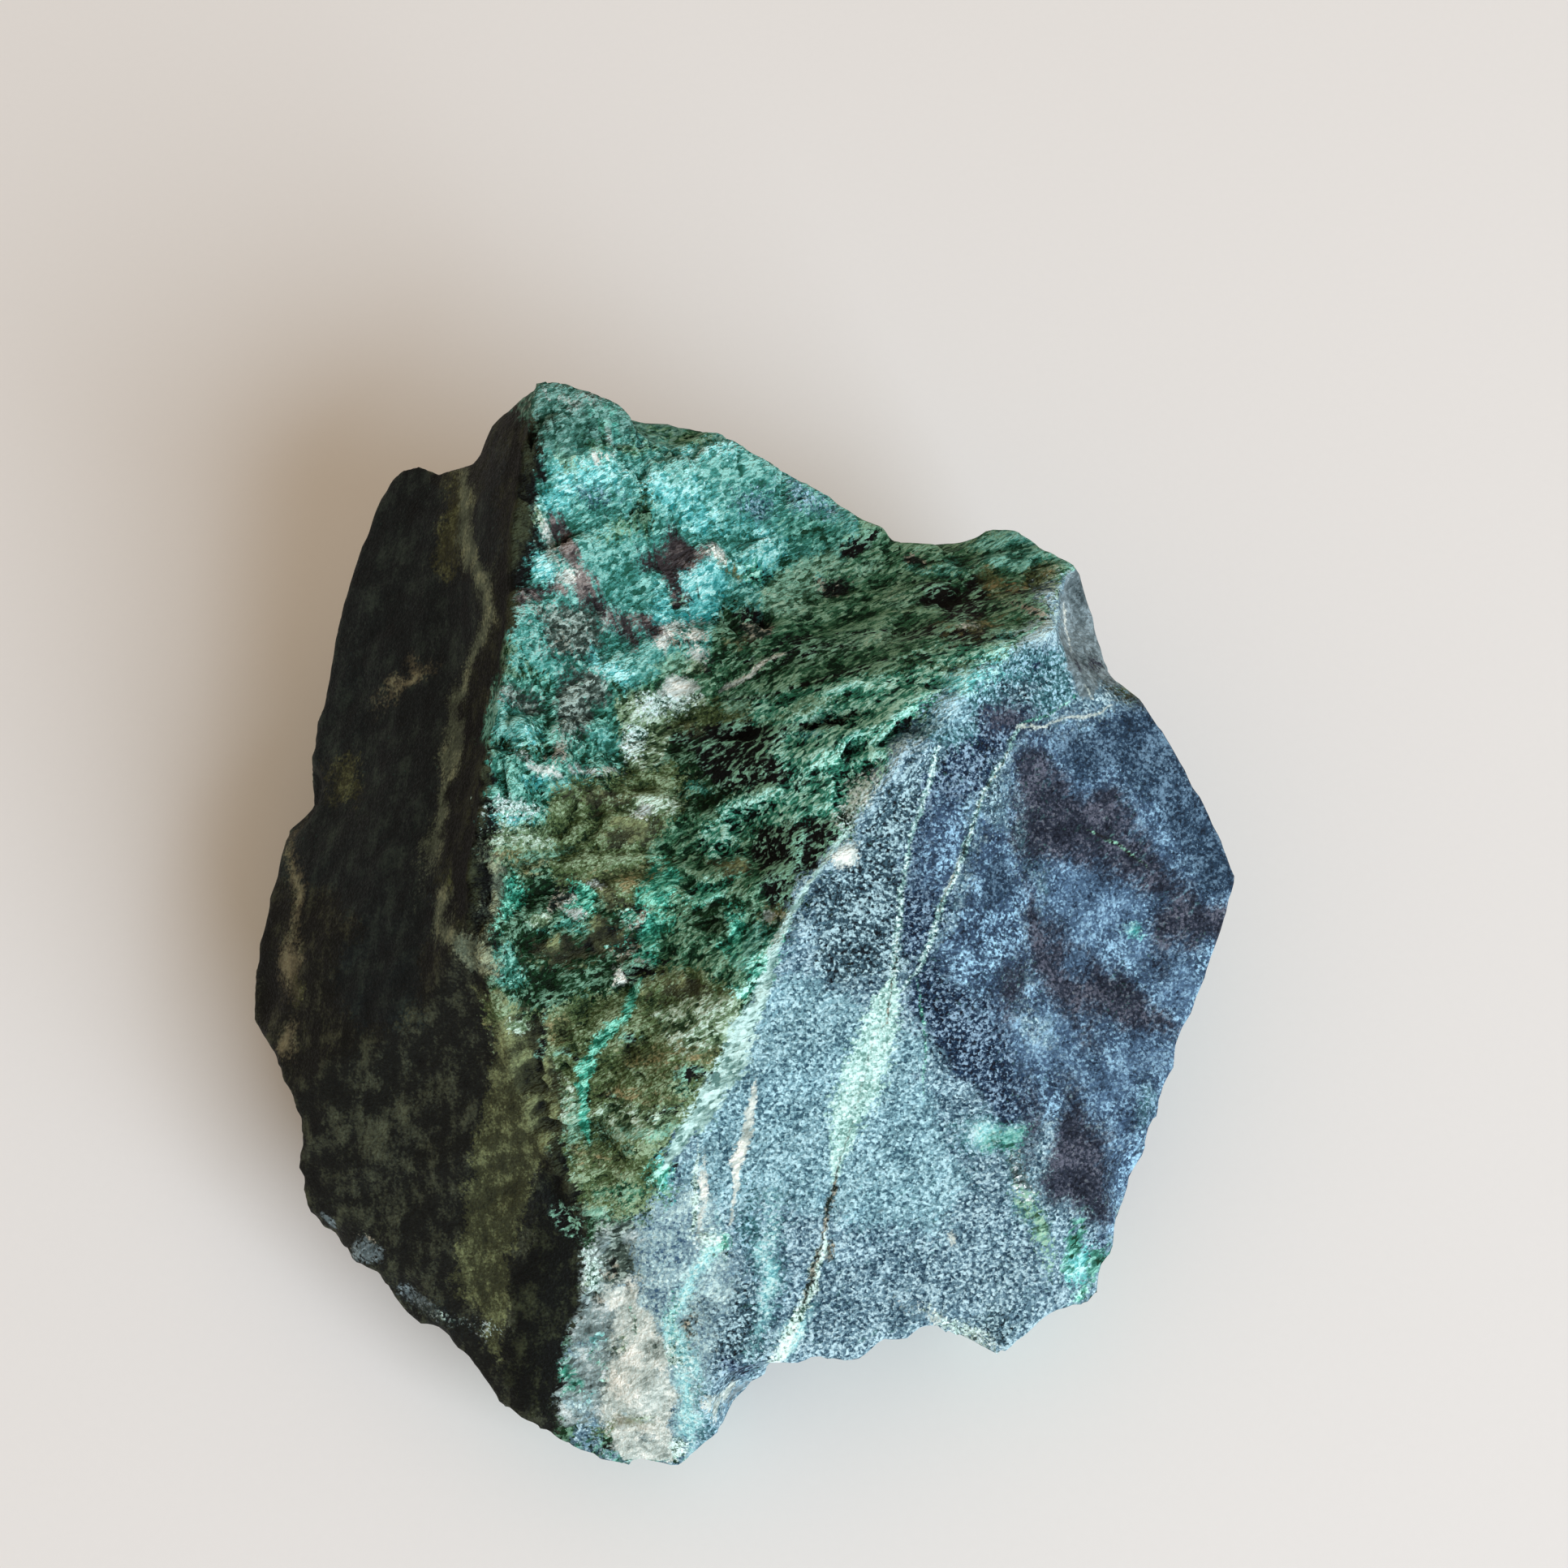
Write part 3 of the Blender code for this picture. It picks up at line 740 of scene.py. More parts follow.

# %% [markdown]
# ## Mineral zones
#
# The real stone is a patchwork: a blue face of chrysocolla and azurite, a turquoise wall, a
# green slope, olive and umber in the hollow, and dark bare rock on the left. Each zone is an
# outline on the sight plane. They could be painted as an image, but an image has one fixed
# sharpness and smears on the sides. An outline gives every point its distance from the edge in
# millimetres, and the finish decides later how ragged the edge is.

# %% Outlines of the zones, the later over the earlier: name and mineral, then (a, b) corners
# The pale_steel zone at the blue face's lower left is partly dust and partly painted sheen.
ZONES = table("""
hollow_left teal: -11.7 15.9, -7.9 16.4, -5.6 15.6, -5.8 13.7, -5.6 11.5, -7.9 10.4, -9.9 9.5,
-11.3 10.1
turquoise_wall turquoise: -13.2 34.2, 3.4 34.2, 5.5 26.9, 6.5 24.5, 4.7 22.4, 3.5 20.2, 1.8 19.9,
0 20.2, -0.5 18.4, -1.1 17.1, -2.8 16.5, -4.4 15.7, -6.6 15.8, -8.3 15.3, -10 17.4, -11.6 18.2,
-10 23.2
cap cap: -14 33.5, -12.1 33.3, -10.1 33.5, -7.7 32.8, -5.3 31.5, -3.1 30.6, -3.1 27.5, -4.8 27.2,
-6.4 26.8, -7.4 26.4, -8.3 25.9, -9.1 25.8, -9.6 26.4, -9.8 27.3, -10.3 28.3, -12.9 31.5
green_slope forest: 5.9 25.1, 8.9 26.9, 18.2 26, 17.2 22.5, 14.8 20.1, 13.1 19.1, 11.6 17.6, 9.1 16.9,
6.5 16.7, 3.5 16.1, 1.3 15.5, -0.5 14.9, -2.5 14.3, -3.6 14.6, -4.7 15.7, -3.3 16.8, -1.1 17.2,
-0.8 19.2, 0.1 20.2, 1.8 19.9, 3.5 20.5, 4.4 22.1
mint_ledges mint: 0.6 15.2, 3.5 16, 6.5 16.6, 9.3 16.7, 8.7 15.6, 7.3 13.9, 6.2 12.2, 5 10.4, 3.5 9.5,
1.7 9.6, -0.4 9.5, -1.1 10.4, 0.7 11.4, 2.1 12, 1.3 12.8, 1.7 13.7, 0.7 14.2
mid_green forest: -4.1 10, -1.3 10, 1.2 9.6, 1.3 7.9, 1.3 5.7, 0.8 3.8, -0.3 2.7, -2.3 3, -3.7 2.7,
-4.5 3.5, -4.2 6.4
umber_step umber: 1 9.4, 4.6 9.9, 3.9 8.2, 2.6 6.6, 1.6 5.4, 0.8 5.9, 0.9 7.9
black_lumps umber: -1.9 14.2, 0.4 14.4, 1.7 13.9, 1.3 12.8, 2.6 12, 1.7 11.4, 0.1 11, -1.6 11.5,
-2.1 12.8
olive_band olive: -8.2 10.9, -4.7 12.3, -3.1 12.3, -3.2 10, -4.1 8.4, -4.5 6, -7.8 6, -8.2 7.8,
-9.7 7.6, -11.1 7.7, -11.2 8.4, -9.6 8.4
sage_lumps sage: -6 15.3, -3.3 15.3, -2.1 14.9, -3.3 13.6, -4.4 12.5, -5.5 12.6, -6 13.7
emerald_floor emerald: -11.4 7.1, -8.6 6.7, -5.1 5.6, -4.3 3.1, -5.3 1.8, -7.8 1.3, -9.8 1.2, -11.6 2.3
olive_floor olive: -11.4 1.9, -9.5 1.2, -5.6 1.8, -4.5 2.9, -2.3 3, -0.3 2.3, -0.3 0.5, -0.9 -0.8,
-1.8 -2.6, -2.9 -4.4, -3.9 -5.5, -4.1 -7.3, -6.2 -7.8, -7.3 -7, -7.9 -5.2, -9.1 -4.3, -10.8 -1.6,
-11.6 0.7
sage_floor sage: -3.7 1.3, -2.3 1.7, -0.4 1.9, -0.4 0.6, -1.2 -0.5, -2.8 -0.4, -3.8 0.3
blue_face steel: 15.1 21.1, 14.2 19.4, 13.1 18.7, 11.9 17.5, 10.6 16.8, 9.3 16.5, 8.6 15.6, 7.5 14.1,
6.6 13, 5.8 11.7, 5 10.1, 4.1 8.4, 3.2 7.1, 2 5.5, 1.3 4.3, 0.9 2.7, 0.1 1.4, -0.4 -0.5, -1.5 -2.2,
-2.5 -4.1, -3.7 -5.5, -4.1 -7.3, -5.2 -8.2, -6.1 -9.6, -6.5 -12, -7.4 -15.5, -8.1 -19.6, 3.1 -23.8,
27.7 -8.8, 30 16.1, 20.3 25.1
front_frost pale_steel: 0.1 0.1, 1.3 2.2, 3.2 2.7, 5.3 1.6, 6.8 -0.9, 9 -2.9, 10.2 -6.3, 8.4 -9.2,
5 -8.4, 1.7 -7.5, -1.5 -8.2, -3.1 -7, -2 -4.4
speckled_slate slate: 7.8 12.5, 6.2 10.9, 5.3 9, 4.2 7.3, 3.2 6, 2.6 4.3, 3.2 3, 4.6 2.6, 5.9 2.7,
7.2 3.1, 8.7 3.7, 9.2 5.6, 10.3 7.8, 12.1 11.7, 10.7 12.8, 9 12.6
teal_blue_corner teal_blue: 8.7 15.9, 10.6 16.8, 12 17.5, 14.2 18.6, 15 17.4, 15.4 15.7, 15.8 14.9,
14.1 14.6, 12.3 14.8, 10.7 14.9, 10.1 13.6, 9 12.8, 8 13.6, 8.2 14.9
navy_below_corner navy: 10.7 14.9, 12.9 14.9, 13.8 14.3, 12.4 13.6, 11.7 12.5, 10.6 10.4, 9.2 11.4,
9 12.5, 10.1 13.6
navy_between_veins navy: 8.3 11.7, 10.3 12.6, 11.1 11.9, 10.2 10, 9.4 7.8, 8.9 6, 8.4 4.2, 7.3 3.2,
6.9 4.6, 7.2 6.4, 7.7 9
blue_by_vein blue: 10.6 9.5, 11.7 9.7, 12.4 8.1, 12.9 6.4, 12.7 4.8, 12.9 3, 11.8 1.5, 10.7 1.2,
9.4 2.1, 9 3.8, 9.8 6
navy_low navy: 7.4 2.9, 9 3.7, 10.1 2.1, 12.1 1.4, 13 0.3, 12.4 -0.8, 13 -2.3, 12.9 -4.3, 11.9 -3.7,
10.6 -2.7, 9.5 -1.4, 8.7 -0.2, 7.9 1.3
blue_right blue: 13.8 14.2, 16.3 14.1, 18.6 15.3, 22.5 14, 25.7 7.9, 25 0.2, 20.6 -8.1, 18.2 -10.2,
17.1 -9.7, 16.4 -4.7, 15.3 -2.7, 14.4 -4.7, 13.5 -4.6, 13 -2.3, 12.3 -0.8, 12.7 1.1, 13.2 2.4, 12.4 3.7,
12.9 5.2, 12.1 6.5, 12.7 8.1, 12 9.8, 12.4 11.5, 12.2 12.8, 12.9 13.6
blue_rim deep_blue: 16.3 14.1, 17 13.9, 18.5 15.4, 19.8 13.7, 22.5 11.1, 24.3 7.9, 24 6.6, 21.9 6.2,
20.9 7.6, 20.3 8.8, 19.6 10, 18.5 10.6, 17.9 11.9, 16.5 11.6, 15.4 12, 14.7 13.2, 14.1 13.8
charcoal_top charcoal: 13.1 13.3, 14 13.2, 14.6 12.4, 15.2 11.7, 16.4 11, 17.7 11.4, 18.4 10.2, 19 9.6,
19.5 8.8, 19.9 7.5, 21.3 6.5, 20.7 5.7, 19 6.3, 17.8 6.8, 16.3 6.9, 15.3 7.6, 14.2 7.5, 13.6 8.1,
12.9 7.7, 12.2 8.6, 12.4 9.8, 12.2 10.6, 12.7 11.7, 12.7 12.6
charcoal_middle charcoal: 12.9 7.2, 13.2 6.3, 14.4 5.4, 15.1 4.1, 16.5 3.1, 17.8 2.2, 18.8 1.6,
19.8 0.6, 20.9 -0.1, 20.8 -0.7, 19.4 -0.7, 18.4 -0.2, 17.4 0.1, 16.5 0.6, 16.4 -0.9, 15.8 -0.4,
14.9 0.4, 14 0.9, 13.5 1.8, 13 3.6, 12.9 5.4
charcoal_right charcoal: 19.8 5.3, 20.7 6.3, 22.3 5.6, 23.7 6, 23 4, 22 2.7, 20.9 2.9, 20.3 2.2,
19.5 2.7, 19.9 3.8, 19.3 4.5
flame charcoal: 15 -1.8, 15.7 -3.1, 16.2 -4, 16.6 -5.3, 16.7 -6.2, 17.1 -7.9, 17.3 -8.8, 16.9 -9.1,
15.7 -8.6, 14.9 -8, 14 -7.6, 13.5 -6.9, 14.3 -6, 14.5 -4.8, 14.8 -4, 14.9 -3
tip_violet violet: -4.5 -7.6, -3.1 -7.1, -1.2 -7.7, -0.5 -10.4, -0.9 -13.3, -1.6 -15.6, -2.7 -19.3,
-3.1 -15.6, -4.2 -13.4, -4.3 -11.5, -4.8 -10.4, -4.5 -8.8
tip_cream cream: -6.1 -11.6, -5.1 -11.2, -4.2 -11.9, -3.8 -13.3, -3.4 -14.1, -3.1 -16.1, -3.3 -19.9,
-6.3 -19.3, -6.5 -17.9, -6.4 -15.8, -6.2 -13.9
grey_chip glass_grey: 15.2 20.4, 15.6 21.2, 17 22.3, 17.5 22.4, 17.7 21.7, 17.8 20.7, 18.3 19.1,
18.5 18, 18.8 17.2, 17.5 16.2, 17 16, 16.4 15.2, 15.9 15.8, 15.2 17, 15 18.2, 15 19.4
tip_left shell: -7.6 -10.2, -6.4 -9.8, -5.9 -11.6, -5.9 -13.5, -6 -15.8, -6.5 -17.9, -8.3 -18.2,
-8.4 -15.9, -7.9 -13.5
left_side dark_rock: -16 37.1, -14 33.5, -13.2 32, -12.5 31.5, -10.2 28.3, -9.7 27.5, -9.5 26.3,
-9.5 24.2, -9.8 21.9, -10.6 18.8, -10.9 17.2, -11.1 15.1, -11.6 13.7, -11.7 12.2, -11.3 10.1, -11.1 7.9,
-11.1 5.8, -11.4 3.7, -11.7 1.7, -11 -0.4, -10.1 -2.4, -9.1 -4.3, -8.3 -5.5, -7.6 -7.1, -7.2 -8.8,
-7.7 -10.7, -7.8 -12.6, -7.9 -13.8, -8.3 -15.8, -8.5 -17.7, -9.2 -19.9, -22.2 -19.9, -28.5 -1.6,
-27.3 14, -22.9 36.1
left_slab slate_dark: -18 28, -16.2 27.6, -13.9 24.7, -13.2 22.5, -13.3 20.9, -12.4 19.2, -12.8 17.4,
-13.6 14.7, -13.7 12.6, -14.2 10.2, -14.4 7.8, -13.6 6.4, -13.5 4.6, -15.3 3.4, -16.6 4.1, -18 5.1,
-19.9 6.2, -22.6 6.6, -24.6 6.8, -23.7 14, -21.2 24.7
black_strip black: -13.4 31.5, -12.8 31.4, -10.3 28.4, -9.7 27.4, -9.4 26, -9.6 24.2, -9.8 23,
-9.7 22.2, -10.1 20.3, -10.4 18.6, -11.1 17, -11.4 14.1, -11.2 11.8, -10.9 6.5, -10.7 4, -11.1 2.9,
-12.7 4.4, -14.1 6.4, -13.6 8.4, -13.1 13, -12.6 16.2, -11.4 19.6, -12 20.5, -12.2 22.7, -12.5 25.2,
-14.1 28.7, -13.7 30.3
low_left_moss moss: -12.3 2.1, -11.4 0.8, -11.1 -0.7, -11.3 -3, -11.8 -4.2, -12.4 -6.5, -13 -9.1,
-13.3 -11.2, -13.1 -12.4, -12.2 -14.2, -11.3 -15.8, -10.7 -12.2, -10.4 -9.8, -9.5 -8.8, -8.9 -6.3,
-8.5 -4.7, -8 -3.9, -8.1 -2.7, -8.9 -0.8, -9.7 1, -10.9 2.4
low_left_wedge black: -8.3 -4.5, -7.5 -5.8, -7.1 -7.2, -7.2 -8.7, -7.4 -10.6, -7.5 -12.9, -8 -15.5,
-8.6 -18.3, -9.7 -17.5, -11.1 -16.2, -10.5 -13.5, -10.7 -11.7, -9.1 -9.7, -8.7 -6.9
grey_hollow ash: -6.4 -8.7, -5.9 -8.1, -4.8 -7.8, -4.1 -8.1, -4.5 -9.8, -4.7 -10.8, -5.9 -11.3,
-6.4 -11, -6.6 -9.9
""")
print(len(ZONES), "zones of", len({mineral for _, mineral, _ in ZONES}), "minerals")

# %% [markdown]
# ## Patches and veins
#
# Inside the zones lie spots of other minerals, from a smear five millimetres long down to a
# grain. Each is an oval. They come in groups of one mineral, the later over the earlier, and
# from top to bottom within a group. Veins are thin, so a distance worked out point by point
# would break them up. A vein keeps three numbers instead: how far a point lies beside its line,
# how wide it is there, and how ragged.

# %% Spots: a mineral, then rows of a, b, half-length, half-width and, where it is turned, angle
# In the forest group, the thin spot at -5.6 26.7 is painted shade in the crease under the rim's lip.
PATCHES = table("""
sky: 15.9 11.3 0.4 0.28, 19.5 8.8 0.17 0.71 35, 16.6 5.8 2.13 1.23 -22, 15.6 4.3 0.83 0.5 -30,
18.6 3.5 1.07 0.49 -30, 15.2 3.2 0.25 0.37, 20.9 1.8 0.84 1.09 -15, 14.1 0.1 1.44 0.48 -8,
14.1 -1.1 1.83 0.8 -30, 18.2 -1.9 2.48 0.91 14, 17.6 -6.3 0.5 1.58 12
slate: 12.7 15.6 1.18 0.55, 12.9 9.2 0.32 1.27 14, 13.8 6.6 0.32 0.97 14, -0.5 -12.2 1.16 1.46 -10,
11.7 -13.5 0.9 0.9 30, 0.1 -14.1 0.95 1.31 -30
charcoal: 15.9 17.2 0.18 0.36 10, 16.8 16.8 0.25 0.5 18, 12.1 14.3 1.01 0.39, 12.3 1.7 0.47 1.26 -10,
13.1 -4.3 0.23 1.07 -3
glass_grey: -19.1 -9.3 0.65 0.32 -48, -17.7 -11 0.83 0.38 -42, -15.1 -12.8 1.37 0.47 -30,
-0.5 -17 0.65 0.18 40
slate_dark: -11.8 23.5 0.72 4.32 -8, -16.5 2.6 2.16 2.16, -14.6 -13.2 0.79 0.25 -25
deep_blue: 11.5 6.7 0.78 1.02, 18.6 -3.9 0.43 0.86 -20
umber: 11.2 20.6 0.39 1, 13.1 20.6 1.14 0.3 -10, 9.4 20.3 1.01 0.62 10, 13.6 19.9 0.66 0.29 -10,
8.7 19.8 0.54 0.39, 10.5 19.6 1.1 0.59, 2.9 17.9 0.53 0.27, 3.6 14 2.05 0.18 12, 6.7 13.7 0.95 0.29 20,
4.3 12.5 0.55 0.44, 5 11.6 0.72 0.22 20, 2.9 11.4 0.81 0.26 15, -10.9 8.2 0.46 0.13,
1.8 6.5 0.73 0.65 10, -4.7 2.9 0.67 0.22 10, -5 -0.1 0.29 0.18, -9.1 -0.8 0.27 0.27, -4.6 -1 0.29 0.22,
-7.9 -1.1 0.29 0.22, -2.1 -1.4 0.5 0.36, -5.8 -2.7 0.33 0.22, -3.3 -3 0.36 0.18, -7.8 -8.5 0.59 0.89
pale_steel: 9.2 14.4 0.96 0.88, 7.2 -0.9 1.26 1.33
plum: -3.7 22.9 0.22 0.55 -5, -3 22.6 0.82 0.34 -15, -1.8 22.5 0.68 0.23 -12, -8.1 22.4 0.46 0.71 12,
-3.1 22 1.05 0.45, -4.8 21.7 0.29 0.25, -4.4 21.4 0.81 0.44 10, -3.3 21.2 0.75 0.52 -20,
-7.5 21 0.42 0.6 20, -3 20.5 0.49 0.37, -7.5 20.4 0.42 0.42, -8.3 20.1 0.92 0.25 5,
-9.7 19.7 0.49 0.31 10, -6.7 19.3 0.77 0.32 -10, -5.6 18.9 0.72 0.25 -10, -4.5 18.9 0.55 0.29,
-4 18.5 0.63 0.26 -15, -5.2 18.1 0.37 0.51 10
aqua: -7.1 25.3 1.28 0.43 -5, -3.2 24.9 1.18 0.44, -8.3 24.4 0.7 0.35 30, -2.2 23.8 0.98 0.38 -10,
0.6 23.6 0.77 0.23 -10, -2.1 21.2 1.05 0.6 10, -4 19.5 0.52 0.74, -5.8 16.4 0.44 0.51,
9.8 15.8 0.74 0.37, 3.2 13.7 1.1 0.26 8, -10.5 9.7 0.6 0.2, -4 5.2 0.26 0.22, 18.3 4.3 0.29 0.25,
-3.7 -5.9 0.29 0.72, 15.5 -11.1 0.56 0.8 -10, -7.1 -16.8 0.22 0.3
cream: -6.6 26 0.28 0.28, -9.1 22.3 0.27 0.24, -1.4 22.3 0.42 0.23 -20, -8.2 21 0.63 0.39 20,
-1.8 17.2 0.53 0.23, -3.2 15.8 0.52 0.45 30, -7.5 11.8 0.9 0.14 3, 4.8 8.2 0.29 0.54 10,
-4.6 3.4 0.19 0.15, -5.6 2.6 0.15 0.26, -2 -7.1 0.18 1.08 -4, 9.2 -9.2 0.15 0.22 20,
-5.5 -11.1 0.59 0.09 8, -1 -16.5 0.6 0.28 45
drab: -11.8 19.7 0.25 0.54 10, -12.2 18.6 0.22 0.86 -20, -12.6 17.5 0.25 0.72 -20,
-13.1 15.2 0.22 0.94 -12, -13.4 14 0.22 0.72 -10, -13.6 12.6 0.18 0.94 -10, -13.7 11 0.25 0.79 -12,
-14 9.6 0.22 0.86 -14, -14.3 8.3 0.18 0.79 -14, -11 6.5 0.19 0.83, -12.8 4.9 0.47 0.29 -45,
-12 4.2 0.6 0.3 -40
soot: 8.3 22.1 0.47 0.35, 13.1 19.4 0.66 0.22 -20, 0.7 19 0.84 0.73, -2.6 18 0.83 0.3 -5,
-1.7 16.6 0.38 0.23, -7.4 15.6 0.36 0.71, -5.5 4 0.51 0.58, 4.3 -9.7 0.18 0.3 -10,
-17.8 -10.4 0.36 0.22 -42, -5.3 -11.4 0.33 0.15 5, -6.6 -12 0.41 0.3 -20, -2 -13 0.07 0.44 -4
mint: 0.4 10.6 1.19 0.52, -0.4 9.1 1.12 0.67 10, -0.7 8.2 0.89 0.45, -5.8 4.2 0.29 0.36,
0.2 2.5 0.72 0.22 8, -3.9 -6.1 0.36 0.43, -1.1 -9.3 0.72 0.51 30, -5.3 -12.5 0.15 0.22,
15.7 -12.5 0.19 0.32 -50, -2.8 -13.2 0.22 0.88, -6.3 -15.8 0.19 0.68 20, -7.9 -15.9 0.3 0.82
rust: -0.8 21.9 0.34 0.19 -20, 11.8 21.1 0.55 0.32 -40, 13.8 20.9 0.53 0.31, 10.3 18.6 0.97 0.3 5,
-9.9 7.9 0.79 0.26, -13.5 6.8 0.14 0.61 6, 1.3 5.5 0.36 0.22, -1.6 -0.5 0.72 0.25 -10,
-4.1 -0.8 1.1 0.37, -4.8 -2.4 0.95 0.26, -6.3 -5.3 0.58 0.22
jade: -8.3 25.8 0.84 0.25 -5, 3.5 21.8 1.02 0.47 30, 5.7 21.6 0.55 0.39, 2.3 20.7 1.48 0.78 6,
7.5 20.2 0.46 0.31, 6 18 1.36 0.49 6, -0.4 15.2 0.53 0.31, -8.8 8.2 1.04 0.28 8, -6.4 -7.7 0.88 0.26,
-5.2 -13.4 0.19 0.45, -7.7 -14.3 0.19 0.37
sage: -9.2 23.3 0.44 0.55, 12 20.6 0.35 0.23 -40, -2.2 16.7 0.53 0.3, -4.7 14.3 1.24 0.73,
-9.9 9 1.2 0.4, -8.8 5.4 0.49 0.42, -8 -3.3 0.36 0.94 15, -4.7 -3.6 1.84 0.55 6, -5.6 -14.4 0.26 0.6 20,
-4.5 -17.4 0.52 0.22 30
stain: -16.1 16.6 0.14 0.22 20, -16.4 16 0.32 0.09 30, -21.8 6.3 0.09 0.72 8, -21.6 2.4 0.32 0.65 -8,
-21.2 -0.7 0.22 0.36, -5.3 -17.7 0.49 0.26
plum: -8.5 23.4 0.56 0.28 10
ash: -8.7 29 1.26 0.3, -9.2 21.8 0.48 0.21, -7.9 18.8 1.59 0.38 -8, -7.7 17.9 1.36 0.75,
-8 14.8 0.6 1.35, -5.7 -9.5 0.88 0.95, -4 -13.8 0.26 0.52 -10, -6 -14.6 0.26 0.45 20,
-6 -16.3 0.19 0.45 25
emerald: -4.9 23.9 0.33 0.87 -16, 3.2 17.1 2.27 0.23 14, 18.1 15.8 0.58 0.22 -40, -5.2 2.3 0.41 0.34,
-2.6 -2.1 0.36 0.43, -6.8 -4.8 0.29 0.29, -5.2 -5.3 0.44 0.4, -5.1 -13.4 0.19 0.26, -6.5 -18.9 0.41 0.34
moss: -13.8 23.6 1.08 2.52 -10, 18.3 15.3 0.58 0.18 -45, -2.5 13.6 0.76 0.23, -19.5 11.5 0.94 1.22,
-0.9 7.3 1.11 0.45 10, -6.2 4.2 0.94 0.72, -7.8 3.5 0.9 0.35, -3.1 2.2 0.89 0.37, -21.1 1.6 0.43 0.58,
-9.5 0.5 1.13 0.6
teal: -6.5 28.6 0.94 0.29 -25, 3.6 23.5 1.58 0.71 -20, 15 22.1 0.94 0.72 -30, 8.3 21.6 0.61 0.46,
9.8 21.6 1.01 0.47 -8, -7.8 4.6 0.85 0.25, -10.3 3.4 0.66 0.79, 15.2 -9.9 0.32 0.72 -10,
16.3 -11.4 0.38 0.69 -30
drab: -13.2 25.3 0.29 0.79 8, -13 23.8 0.43 1.22 4, -12.6 22.5 0.29 0.86 14, -12.3 21 0.29 0.94 12,
-13.5 5.6 0.25 0.43, -11.2 3.6 0.35 0.35
umber: 5.5 23.2 1.04 0.4 20, 4.8 23.1 0.48 0.32, -3 20.3 0.38 0.26, 0.3 19.5 0.54 0.46,
5.7 18.6 0.83 0.19, 2.6 17.3 0.98 0.11 5, -2.7 13.5 0.45 0.19 -20, -9 1.1 0.17 0.42,
-3.3 -5.6 0.18 0.25, -6.3 -19.2 0.22 0.15
cream: -9 22.8 0.27 0.34 20, 10 18.8 0.22 0.15, 10.6 18.8 0.18 0.15, -2.3 18.2 0.42 0.19 -10,
-3.7 18 0.26 0.3, -6 -12.2 0.26 0.67 10, -4.5 -13.4 0.52 0.82, -4.7 -14.8 0.97 0.52 -10
crust: -3.8 14.9 0.82 0.3, 5 10.6 0.43 1.08 -35, -10.4 10.2 0.6 0.27, -1.6 -8.8 0.51 0.29,
-14.1 -13.6 0.65 0.09 -6, 10.2 -13.9 1.28 0.23 -36, -2.8 -14.3 0.37 0.52, -3.2 -19.1 0.45 0.52
teal_blue: 2.9 25.4 1.58 0.48 -25, 0.3 24.9 1.38 0.54 -10, -6.7 24.5 1.01 0.47 -10, 18.6 -4.1 0.43 0.79,
11.3 -4.5 1.06 0.68 -16, 0.6 -8.9 0.29 1.09 -6, 1.2 -11 0.18 1.39 -10, -1.8 -17.4 0.22 1.6 4
pale_aqua: 11.5 -4.4 0.53 0.26 -16, -1.6 -9.8 0.25 0.94 -20, 1 -10.4 0.18 1.31 -8,
-2.2 -11.5 0.26 0.87 -20, -3 -13.2 0.29 0.74 -12, 2 -13.7 0.37 0.95 -32, -2.3 -14.1 0.22 0.88 10,
-2.5 -16.8 0.22 1.7 3
forest: -3.1 27.7 1.61 0.38 -4, -5.6 26.7 1.79 0.25 2, -5.6 23 0.87 0.33 22, 3.2 14.8 2.21 0.3 15,
-2.1 6.7 1.19 1.49, -5.2 -6.7 1.45 0.36 -5
turquoise: 13.2 23.4 1.44 0.58 -10, -5.6 17.8 0.58 0.8, -9.7 17 0.97 0.48 20, -10.4 14 0.77 1.33 8,
-6.7 13.6 0.84 0.63, 12 -4.8 0.68 0.53 -30
teal_blue: 12.7 -6.2 0.3 0.76 14, 12.9 -7.6 0.34 1.46 16
mauve: 12.7 -6.6 0.19 0.53 14, 9.9 -13.7 1.14 0.11 -36, -5.3 -15.7 0.34 0.23 -20
aqua: -1.5 27.3 1.07 0.38 20, 0.6 21.9 1.31 0.66 12, -9.2 21 0.53 0.46, -2.2 19.7 0.9 0.67,
-6.9 17 0.35 0.49, -9.4 13.5 0.31 0.38
ash: -7.2 15.7 0.86 0.71, -10 15.1 0.61 0.41
cream: -3.3 18.8 0.45 0.26 40, -3.1 15.6 0.67 0.41 20, -8.8 12.1 0.75 0.14 -30, 9 -13.1 0.31 0.15 -10,
-1.6 -17.2 0.14 0.5 10
jade: -3.3 16.7 0.82 0.45 20, -4.1 -4.2 1.44 0.29 8, -7.7 -4.4 0.28 0.85 20, 12.9 -8.2 0.11 0.76 16,
13.4 -9 0.27 1.15 14
shell: -6.1 -9.3 0.18 0.37, -7.1 -13.5 0.67 0.6, -3.8 -15.2 0.37 0.22, -5.2 -17.2 0.68 0.3 -20,
-4.6 -18.3 0.37 0.22
navy: 13.5 16.6 0.44 0.36, 12.9 -3.4 0.39 1.16, 16.7 -10.1 0.27 0.55 -10, 0 -14.9 0.58 0.43 -30
soot: 4.2 20.9 0.59 0.35, -8 17.5 0.44 0.51, -8.1 6 0.58 0.51, -5.9 -10.4 0.59 0.3 10
crust: -5.3 13.6 0.5 0.58 30, -6.8 -10.7 0.3 0.66 12
violet: -4.1 -8.1 0.51 0.72, -1.2 -11.5 0.36 0.73, -4.2 -11.9 0.59 0.74, -7.2 -14.6 0.67 0.52 20
mint: 0.3 21.6 0.69 0.38, 7.6 15.8 1.31 0.73 30, -1.8 6.4 0.67 0.3 20
